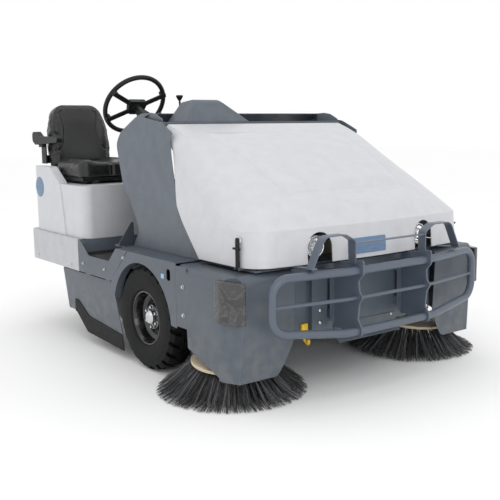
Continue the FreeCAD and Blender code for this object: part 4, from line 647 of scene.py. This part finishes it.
def side_broom_bristles(side):
    joint = JOINTS[f"side_broom_{side}_spin"]
    hub, axis = np.array(joint["pos_m"]), np.array(joint["axis"])
    axis /= np.linalg.norm(axis)
    across = np.cross(axis, [0, 1, 0])
    across /= np.linalg.norm(across)
    ahead = np.cross(axis, across)
    draw = random.Random(7 if side == "left" else 8)
    travel = np.array([0.0, 0.22, 0.48, 0.75, 1.0])
    strands = []
    for root, tip, drop, tufts, strands_each in TUFT_RINGS:
        for k in range(tufts):
            turn = 2 * math.pi * (k + draw.uniform(-0.12, 0.12)) / tufts
            lean = draw.uniform(-0.02, 0.02)
            for _ in range(strands_each):
                start = root + draw.uniform(-0.005, 0.005)
                end = min(tip + draw.gauss(0, 0.011), LONGEST_REACH)
                swing = lean + draw.gauss(0, 0.030)
                first = turn + draw.uniform(-0.018, 0.018)
                reach = start + (end - start) * (travel * 0.72 + 0.28 * travel ** 1.8)
                fall = drop * draw.uniform(0.93, 1.0) * travel ** 1.12
                angle = first + swing * travel ** 1.3
                outward = np.outer(reach * np.cos(angle), across) + np.outer(reach * np.sin(angle), ahead)
                strand = hub + outward - np.outer(fall, axis)
                ground = LOWEST_TIP + draw.uniform(0, 0.004)
                strand[:, 2] += np.clip(ground - strand[:, 2], 0, None)
                strands.append(strand)
    piece = filaments(f"bristles_{side}", strands, 0.0013, 0.0009, f"side_broom_{side}", bristle)
    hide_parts(f"side_broom_bristles_{side}")
    print(piece.name, "has", len(strands), "filaments")


for side, _ in SIDES:
    side_broom_bristles(side)

# %% [markdown]
# ## Main broom
# The main broom under the machine is a drum with rows of tufts in a shallow chevron, which drives the dirt
# to the middle of the hopper's mouth. The rows are laid out by angle along the drum, and each tuft is a
# small fan of filaments.

# %% main broom tufts
BROOM_ROWS, TUFTS_IN_ROW, STRANDS_IN_TUFT = 10, 58, 7
DRUM_RADIUS, CHEVRON, END_GAP = 0.081, 1.1, 0.006


def main_broom_bristles():
    low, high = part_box("main_broom_bristles")
    centre, outer = (low + high) / 2, (high.z - low.z) / 2
    draw = random.Random(21)
    travel = np.linspace(0, 1, 3)
    strands = []
    for row in range(BROOM_ROWS):
        for k in range(TUFTS_IN_ROW):
            share = (k + 0.5) / TUFTS_IN_ROW
            x = low.x + END_GAP + share * (high.x - low.x - 2 * END_GAP)
            turn = 2 * math.pi * row / BROOM_ROWS + CHEVRON * abs(share - 0.5)
            for _ in range(STRANDS_IN_TUFT):
                angle = turn + draw.gauss(0, 0.035)
                slant = draw.gauss(0, 0.006)
                reach = DRUM_RADIUS + (outer - 0.082 - draw.uniform(0, 0.006)) * travel
                bend = angle + draw.gauss(0, 0.03) * travel
                along = x + draw.uniform(-0.006, 0.006) + slant * travel
                along = np.clip(along, low.x + 0.001, high.x - 0.001)
                strands.append(np.stack([along, centre.y + reach * np.cos(bend),
                                         centre.z + reach * np.sin(bend)], axis=1))
    piece = filaments("broom_drum_bristles", strands, 0.0016, 0.0011, "main_broom", bristle)
    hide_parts("main_broom_bristles")
    print(piece.name, "has", len(strands), "filaments")


main_broom_bristles()

# %% [markdown]
# ## The seat
# The driver's seat is foam under soft black vinyl, with a raised bolster each side and a flatter centre
# panel, sewn together with a welt. Foam in a tight cover crowns between its seams. So each pad starts as
# its CAD solid, remeshed to an even grid and drawn in a few millimetres, is shaped by formula with bolsters
# and a hollow, and is then inflated as cloth for twenty frames. Remeshing would erase seams, so they are
# pressed in afterwards, and the welts are laid in the grooves.

# %% finish: soft vinyl
PEBBLE_MM = 3.2


def soft_vinyl():
    material, tree, shader, place = new_finish("embossed_black_vinyl", IOR=1.53, Sheen_Weight=0.03,
                                               Sheen_Roughness=0.4, Coat_Weight=0.06, Coat_Roughness=0.3)
    cells = {"Scale": 1000 / PEBBLE_MM, "feature": "SMOOTH_F1"}
    pebble = add(tree, "TexVoronoi", cells, {"Vector": place}).outputs["Distance"]
    creases = noise(tree, place, 35, 6.0, 0.62)
    body = mixed(tree, spread(tree, creases, 0.40, 0.70, 0.0, 0.7), "#101112", "#1A1B1C")
    rough = spread(tree, creases, 0.3, 0.7, 0.30, 0.46)
    fine = relief(tree, pebble, 0.25, None, 0.5)
    join_up(tree, shader, Base_Color=body, Roughness=rough, Normal=relief(tree, creases, 1.2, fine, 0.4))
    return material


vinyl = soft_vinyl()

# %% shape and inflate a pad
GRID, PAD_INSET = 0.006, 0.005
CLOTH_FRAMES, PRESSURE, PUFF_MM = 20, 4.0, 8


def pad_from(node, name, shape):
    """A remeshed copy of a CAD solid, drawn in a little, with each point moved by shape(point, normal)."""
    mesh = NODES[node].data.copy()
    mesh.materials.clear()
    mesh.materials.append(vinyl)
    pad = bpy.data.objects.new(name, mesh)
    scene.collection.objects.link(pad)
    work = bmesh.new()
    work.from_mesh(mesh)
    bmesh.ops.remove_doubles(work, verts=work.verts, dist=0.0001)
    work.to_mesh(mesh)
    work.free()
    grid = pad.modifiers.new("even grid", "REMESH")
    grid.mode, grid.voxel_size = "VOXEL", GRID
    settle(pad)
    normals = [v.normal.copy() for v in pad.data.vertices]
    for vertex, normal in zip(pad.data.vertices, normals):
        vertex.co = shape(vertex.co - normal * PAD_INSET, normal)
    pad.data.update()
    return pad


def settle(piece):
    """Applies a piece's modifiers to its mesh."""
    final = bpy.data.meshes.new_from_object(piece.evaluated_get(bpy.context.evaluated_depsgraph_get()))
    piece.modifiers.clear()
    piece.data = final


def inflate(pad):
    """Blows the cover out as cloth, with no point moving further than PUFF_MM."""
    rest = np.array([v.co for v in pad.data.vertices])
    cloth = pad.modifiers.new("cover", "CLOTH")
    cloth.settings.use_pressure = True
    cloth.settings.uniform_pressure_force = PRESSURE
    cloth.settings.effector_weights.gravity = 0
    cloth.settings.quality = 4
    cloth.point_cache.frame_start, cloth.point_cache.frame_end = 1, CLOTH_FRAMES
    for step in range(1, CLOTH_FRAMES + 1):
        scene.frame_set(step)
    settle(pad)
    scene.frame_set(1)
    swollen = np.array([v.co for v in pad.data.vertices])
    move = swollen - rest
    far = np.linalg.norm(move, axis=1, keepdims=True)
    move *= np.minimum(1, (PUFF_MM / 1000) / np.maximum(far, 1e-9))
    pad.data.vertices.foreach_set("co", (rest + move).astype(np.float32).ravel())
    pad.data.update()
    print(pad.name, "moved at most", round(float(min(far.max(), PUFF_MM / 1000)) * 1000, 1), "mm")


def bell(distance, width):
    return math.exp(-(distance / width) ** 2)


# %% [markdown]
# ### Cushion and backrest
# The cushion's sides rise into thigh bolsters and its front edge rolls over, with a tuck in the middle of the
# roll. The backrest has a long pod each side. A seam is a list of points in the pad's own plane, and the
# groove's depth falls off with the distance to it.

# %% cushion
cushion_low, cushion_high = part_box("seat_cushion")
cushion_mid = (cushion_low + cushion_high) / 2
half_seat = (cushion_high.x - cushion_low.x) / 2


def cushion_shape(point, normal):
    across = (point.x - cushion_mid.x) / half_seat
    back = (point.y - cushion_low.y) / (cushion_high.y - cushion_low.y)
    top = max(0.0, normal.z)
    bolster = 0.013 * bell(abs(across) - 0.74, 0.22)
    rise = bolster - 0.016 * bell(across, 0.42) * bell(back - 0.55, 0.45)
    rise -= 0.010 * bell(across, 0.06) * bell(back, 0.30)
    front = max(0.0, -normal.y)
    return point + Vector((0, 0.012 * front * bell(across, 0.07), rise * top))


cushion = pad_from("seat_cushion", "cushion", cushion_shape)
inflate(cushion)

# %% backrest
back_low, back_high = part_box("seat_back")
back_mid = (back_low + back_high) / 2
RECLINE = math.radians(9)
back_up = Vector((0, math.sin(RECLINE), math.cos(RECLINE)))
back_front = Vector((0, -math.cos(RECLINE), math.sin(RECLINE)))
back_foot = Vector((back_mid.x, back_low.y + 0.05, back_low.z))


def back_place(point):
    """Across and up in the backrest's own plane, in metres from the middle of its foot."""
    offset = point - back_foot
    return offset.x, offset.dot(back_up)


POD_SEAM = [(0.104, 0.365), (0.126, 0.352), (0.118, 0.325), (0.108, 0.27), (0.112, 0.20), (0.128, 0.145),
            (0.152, 0.118), (0.178, 0.120)]


def seam_distance(across, up, seam):
    best = 9.0
    for (ax, ay), (bx, by) in zip(seam, seam[1:]):
        run = (bx - ax) ** 2 + (by - ay) ** 2
        t = min(1.0, max(0.0, ((across - ax) * (bx - ax) + (up - ay) * (by - ay)) / run))
        best = min(best, math.hypot(across - ax - t * (bx - ax), up - ay - t * (by - ay)))
    return best


def back_shape(point, normal):
    across, up = back_place(point)
    facing = max(0.0, normal.dot(back_front))
    pod = bell(abs(across) - 0.158, 0.040) * bell(up - 0.23, 0.13)
    hollow = bell(across, 0.11) * bell(up - 0.24, 0.16)
    lumbar = bell(across, 0.12) * bell(up - 0.07, 0.07)
    return point + back_front * facing * (0.014 * pod - 0.012 * hollow + 0.006 * lumbar)


backrest = pad_from("seat_back", "backrest", back_shape)
inflate(backrest)

# %% [markdown]
# ### Seams and welts
# One subdivision gives the covers about 3 mm between points, fine enough for a groove 9 mm wide. A welt is
# a cord in a folded strip of vinyl. Its path comes from shooting rays at the pad along the seam, so that it
# lies on the finished surface.

# %% press the seams and lay the welts
SEAM_DEPTH, SEAM_WIDTH, WELT_RADIUS, WELT_PROUD = 0.005, 0.0045, 0.0022, 0.0004
CUSHION_SEAM = [(0.118, 0.375), (0.126, 0.30), (0.130, 0.20), (0.128, 0.10), (0.118, 0.035)]


def subdivide(pad):
    finer = pad.modifiers.new("finer", "SUBSURF")
    finer.levels = finer.render_levels = 1
    settle(pad)
    pad.data.shade_smooth()


def press(pad, place, seam, faces_front):
    """Sinks a groove along a seam and its mirror image. place gives a point's place in the pad's plane."""
    normals = [v.normal.copy() for v in pad.data.vertices]
    for vertex, normal in zip(pad.data.vertices, normals):
        if not faces_front(normal):
            continue
        across, up = place(vertex.co)
        near = seam_distance(abs(across), up, seam)
        if near < 0.02:
            vertex.co -= normal * SEAM_DEPTH * bell(near, SEAM_WIDTH)
    pad.data.update()


def smooth_line(points, each=6):
    """A Catmull-Rom line through the points."""
    line = []
    for i in range(len(points) - 1):
        a, b = Vector(points[max(i - 1, 0)]), Vector(points[i])
        c, d = Vector(points[i + 1]), Vector(points[min(i + 2, len(points) - 1)])
        for k in range(each):
            t = k / each
            bow, twist = 2 * a - 5 * b + 4 * c - d, 3 * b - a - 3 * c + d
            line.append(0.5 * (2 * b + (c - a) * t + bow * t * t + twist * t ** 3))
    return line + [Vector(points[-1])]


def laid_on(pad, starts, direction):
    """Where rays from the starts meet the pad, lifted a little."""
    tree = BVHTree.FromObject(pad, bpy.context.evaluated_depsgraph_get())
    hits = []
    for start in starts:
        hit, normal, _, _ = tree.ray_cast(start, direction)
        if hit is not None:
            hits.append(hit + normal * WELT_PROUD)
    return hits


def welt(name, path, body):
    cord = swept_mesh(path, round_outline(WELT_RADIUS, 8), Vector((0, 0.1, 1)))
    piece = make_piece(name, *cord, body, vinyl)
    return piece


subdivide(cushion)
subdivide(backrest)
press(cushion, lambda p: (p.x - cushion_mid.x, p.y - cushion_low.y), CUSHION_SEAM, lambda n: n.z > 0.2)
press(backrest, back_place, POD_SEAM, lambda n: n.dot(back_front) > 0.2)
for pad, node in ((cushion, "seat_cushion"), (backrest, "seat_back")):
    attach(pad, "seat")
    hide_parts(node)
for side, sign in SIDES:
    over = [Vector((cushion_mid.x + sign * p.x, cushion_low.y + p.y, cushion_high.z + 0.1))
            for p in smooth_line([(a, b, 0) for a, b in CUSHION_SEAM])]
    welt(f"cushion_welt_{side}", laid_on(cushion, over, Vector((0, 0, -1))), "seat")
    ahead = [back_foot + Vector((sign * p.x, 0, 0)) + back_up * p.y + back_front * 0.3
             for p in smooth_line([(a, b, 0) for a, b in POD_SEAM])]
    welt(f"backrest_welt_{side}", laid_on(backrest, ahead, -back_front), "seat")
print("seat covered:", len(cushion.data.vertices) + len(backrest.data.vertices), "points")

# %% [markdown]
# ## Headlamps
# A sealed headlamp is a spun, metallised dish with a bulb at its focus behind a clear dome. CAD holds the
# lens as a solid plug. It is replaced by a thin dome, because thick glass would look dark, and the dish is
# turned from a parabola with flat facets.

# %% finish: clear lens and lamp bulb


def clear_lens():
    material, tree, shader, place = new_finish("clear_polycarbonate_lens", IOR=1.586, Roughness=0.04,
                                               Transmission_Weight=0.9, Base_Color=colour("#F4F6F8"))
    bands = {"Scale": 60.0, "bands_direction": "X"}
    ribs = add(tree, "TexWave", bands, {"Vector": place}).outputs["Fac"]
    join_up(tree, shader, Normal=relief(tree, ribs, 0.3, None, 0.25))
    return material


lens_clear = clear_lens()
bulb_glass = new_finish("frosted_bulb", IOR=1.5, Roughness=0.3, Base_Color=colour("#EEF0F2"))[0]

# %% headlamp optics
LENS_RADIUS, DOME_TOP, DOME_RISE, GLASS = 0.0456, 0.0155, 0.016, 0.002
DISH_RADIUS, DISH_BOTTOM, DISH_RISE, FACETS = 0.045, -0.028, 0.026, 24
DOME_STEPS, DOME_TURN = 9, 0.175

# Profiles are (radius, height) pairs. Height 0 is the housing's front.
DISH = [(DISH_RADIUS * k / 8, DISH_BOTTOM + DISH_RISE * (k / 8) ** 2) for k in range(9)]
DISH += [(LENS_RADIUS, -0.002), (LENS_RADIUS, -0.0292), (0.0, -0.0292)]
RING = [(0.0455, -0.004), (0.0455, 0.001), (0.049, 0.0035), (0.0525, 0.001), (0.0530, -0.010),
        (0.0520, -0.010), (0.0505, -0.001), (0.0455, -0.004)]
BULB = [(0.0, 0.004), (0.005, 0.002), (0.007, -0.004), (0.006, -0.014), (0.004, -0.020), (0.004, -0.027),
        (0.0, -0.027)]
lens_low, lens_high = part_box("headlamp_lenses")
lamp_x, lamp_z = lens_high.x - 0.0457, (lens_low.z + lens_high.z) / 2
bowl_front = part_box("headlamp_housings")[0].y


def dome_profile():
    """The lens's outer and inner face, a GLASS apart."""
    whole = 1 - math.cos(DOME_STEPS * DOME_TURN)
    dome = [(0.0, DOME_TOP)]
    for k in range(1, DOME_STEPS + 1):
        turn = k * DOME_TURN
        dome.append((LENS_RADIUS * math.sin(turn), DOME_TOP - DOME_RISE * (1 - math.cos(turn)) / whole))
    return dome + [(r - GLASS if r > GLASS else 0.0, h - GLASS) for r, h in reversed(dome)]


def headlamp(side, sign):
    centre = Vector((sign * lamp_x, bowl_front, lamp_z))

    def turned(name, profile, steps, material, smooth=True):
        mesh = turned_mesh(profile, centre, Vector((0, -1, 0)), steps)
        return make_piece(f"{name}_{side}", *mesh, "hopper", material, smooth)

    reflector = turned("reflector", DISH, FACETS, lamp_chrome, False)
    lens = turned("lens", dome_profile(), 48, lens_clear)
    trim = turned("lamp_ring", RING, 48, lamp_chrome)
    turned("bulb", BULB, 20, bulb_glass)
    return lens


lenses = [headlamp(side, sign) for side, sign in SIDES]
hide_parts("headlamp_lenses")
print("headlamps at x", round(lamp_x, 3), "z", round(lamp_z, 3))

# %% [markdown]
# ## The hood's rim seal
# A rubber bead lies under the hood's lower rim. It follows the hood's outline, so its path is found by
# shooting rays inward at the hood. That keeps the seal right if the hood changes.

# %% rim seal
hood_tree = BVHTree.FromObject(NODES["hopper_hood"], bpy.context.evaluated_depsgraph_get())
hood_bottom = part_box("hopper_hood")[0].z
SEAL_MIDDLE_Y, SEAL_SET_IN, SEAL_DROP = -0.62, 0.007, 0.0035
SEAL_HALF_WIDTH, SEAL_HALF_HEIGHT = 0.005, 0.003


def rim_seal():
    """A black bead under the hood's lower rim, from one rear corner round the nose to the other."""
    middle = Vector((0, SEAL_MIDDLE_Y, hood_bottom + 0.012))
    path = []
    for step in range(0, 181, 4):
        turn = math.radians(step)
        start = middle + Vector((math.cos(turn), -math.sin(turn), 0)) * 2.0
        hit = hood_tree.ray_cast(start, (middle - start).normalized())[0]
        if hit is not None and hit.y < SEAL_MIDDLE_Y:
            inward = (middle - hit).normalized() * SEAL_SET_IN
            path.append(Vector((hit.x + inward.x, hit.y + inward.y, hood_bottom - SEAL_DROP)))
    wide, high = SEAL_HALF_WIDTH, SEAL_HALF_HEIGHT
    outline = [(-wide, -high), (wide, -high), (wide, high), (-wide, high)]
    piece = make_piece("hood_rim_seal", *swept_mesh(path, outline), "hopper", black_rubber, False)
    return piece


rim_seal()

# %% [markdown]
# ## The hood's raised panel
# The moulding has a raised panel over its middle, which stiffens it. It is laid as a grid on the hood by
# shooting rays down, and its 12 mm rise is a smooth step, so that it flows out of the hood with no edge.

# %% raised panel
PANEL_FRONT, PANEL_BACK = -0.905, -0.305
PANEL_HALF_FRONT, PANEL_HALF_BACK = 0.395, 0.455
PANEL_RISE, PANEL_EASE = 0.012, 0.055
PANEL_SINK, PANEL_LIP = 0.0015, 0.004  # the outermost 4 mm dips into the hood
PANEL_LEAN = (-0.35, 0.94)  # the rise goes square to the sloping hood
PANEL_COLUMNS, PANEL_ROWS = 72, 56


def smooth_step(value):
    value = min(1.0, max(0.0, value))
    return value * value * (3 - 2 * value)


def raised_panel():
    points, faces = [], []
    for row in range(PANEL_ROWS + 1):
        share = row / PANEL_ROWS
        y = PANEL_FRONT + (PANEL_BACK - PANEL_FRONT) * share
        half = PANEL_HALF_FRONT + (PANEL_HALF_BACK - PANEL_HALF_FRONT) * share
        for column in range(PANEL_COLUMNS + 1):
            x = half * (2 * column / PANEL_COLUMNS - 1)
            hit = hood_tree.ray_cast(Vector((x, y, 2.0)), Vector((0, 0, -1)))[0]
            edge = min(half - abs(x), y - PANEL_FRONT, PANEL_BACK - y)
            lift = PANEL_RISE * smooth_step(edge / PANEL_EASE)
            lift -= PANEL_SINK * (1 - smooth_step(edge / PANEL_LIP))
            points.append((x, y + lift * PANEL_LEAN[0], hit.z + lift * PANEL_LEAN[1]))
    wide = PANEL_COLUMNS + 1
    for row in range(PANEL_ROWS):
        for column in range(PANEL_COLUMNS):
            start = row * wide + column
            faces.append((start, start + 1, start + wide + 1, start + wide))
    piece = make_piece("hood_raised_panel", points, faces, "front_hood", hood_white)
    skin = piece.modifiers.new("skin", "SOLIDIFY")
    skin.thickness, skin.offset = 0.002, -1.0
    settle(piece)
    print(piece.name, "rises", PANEL_RISE * 1000, "mm")


raised_panel()

# %% [markdown]
# ## Bolts on the hopper's front
# Zinc-plated button heads hold the lip and the prop hook. Each is a small turned cap.

# %% hopper front bolts
WALL_Y, CHANNEL_Y = -1.0045, -1.0305
BOLT_CAP = [(0.0, 0.007), (0.006, 0.006), (0.009, 0.003), (0.0095, 0.0003), (0.0, 0.0003)]
BOLT_PLACES = ((-0.315, CHANNEL_Y, 0.386), (-0.315, CHANNEL_Y, 0.329), (-0.262, WALL_Y, 0.312),
               (-0.455, WALL_Y, 0.408), (0.447, WALL_Y, 0.293), (0.180, WALL_Y, 0.291),
               (0.455, WALL_Y, 0.408), (0.315, CHANNEL_Y, 0.329))
for number, place in enumerate(BOLT_PLACES):
    cap = turned_mesh(BOLT_CAP, Vector(place), Vector((0, -1, 0)), 20)
    bolt = make_piece(f"front_bolt_{number}", *cap, "hopper", bright_zinc)

# %% [markdown]
# ## Blank badges and labels
# Where a maker would put a name there are plain blue-grey discs and a blank label. A badge is a domed resin
# disc.

# %% badges and labels
BADGE_Y, BADGE_Z, BADGE_RADIUS = 1.045, 0.868, 0.062
LABEL_Y, LABEL_Z, LABEL_THICKNESS = (-0.461, -0.435), (0.510, 0.532), 0.0006


def disc_badge(name, centre, axis, radius, body):
    profile = [(0.0, 0.0016), (radius * 0.7, 0.0015), (radius - 0.002, 0.0011), (radius, 0.0002),
               (0.0, 0.0002)]
    piece = make_piece(name, *turned_mesh(profile, centre, axis, 64), body, plate_blue)


wing_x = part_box("engine_hood")[1].x
for side, sign in SIDES:
    disc_badge(f"round_badge_{side}", (sign * wing_x, BADGE_Y, BADGE_Z), (sign, 0, 0), BADGE_RADIUS,
               "engine_cover")
label_finish = rotomoulded("blank_label_light_blue", "#8FC3E6", "#86BADF", 0.35, 0.01, "#B5D9F0", 0.5)
panel_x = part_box("wheel_arch_panels")[1].x
for side, sign in SIDES:
    inner, outer = sorted((sign * panel_x, sign * (panel_x + LABEL_THICKNESS)))
    label = block((inner, LABEL_Y[0], LABEL_Z[0]), (outer, LABEL_Y[1], LABEL_Z[1]))
    make_piece(f"side_label_{side}", *label, "chassis", label_finish, False)

# %% floor
FLOOR_HALF = 30
floor_material, tree, shader, place = new_finish("studio_floor", Roughness=0.9)
join_up(tree, shader, Base_Color=mixed(tree, noise(tree, place, 900, 2.0), "#FCFCFC", "#FFFFFF"))
floor_mesh = bpy.data.meshes.new("floor")
corners = [(x * FLOOR_HALF, y * FLOOR_HALF, 0) for x, y in ((-1, -1), (1, -1), (1, 1), (-1, 1))]
floor_mesh.from_pydata(corners, [], [(0, 1, 2, 3)])
floor_mesh.materials.append(floor_material)
floor = bpy.data.objects.new("floor", floor_mesh)
scene.collection.objects.link(floor)
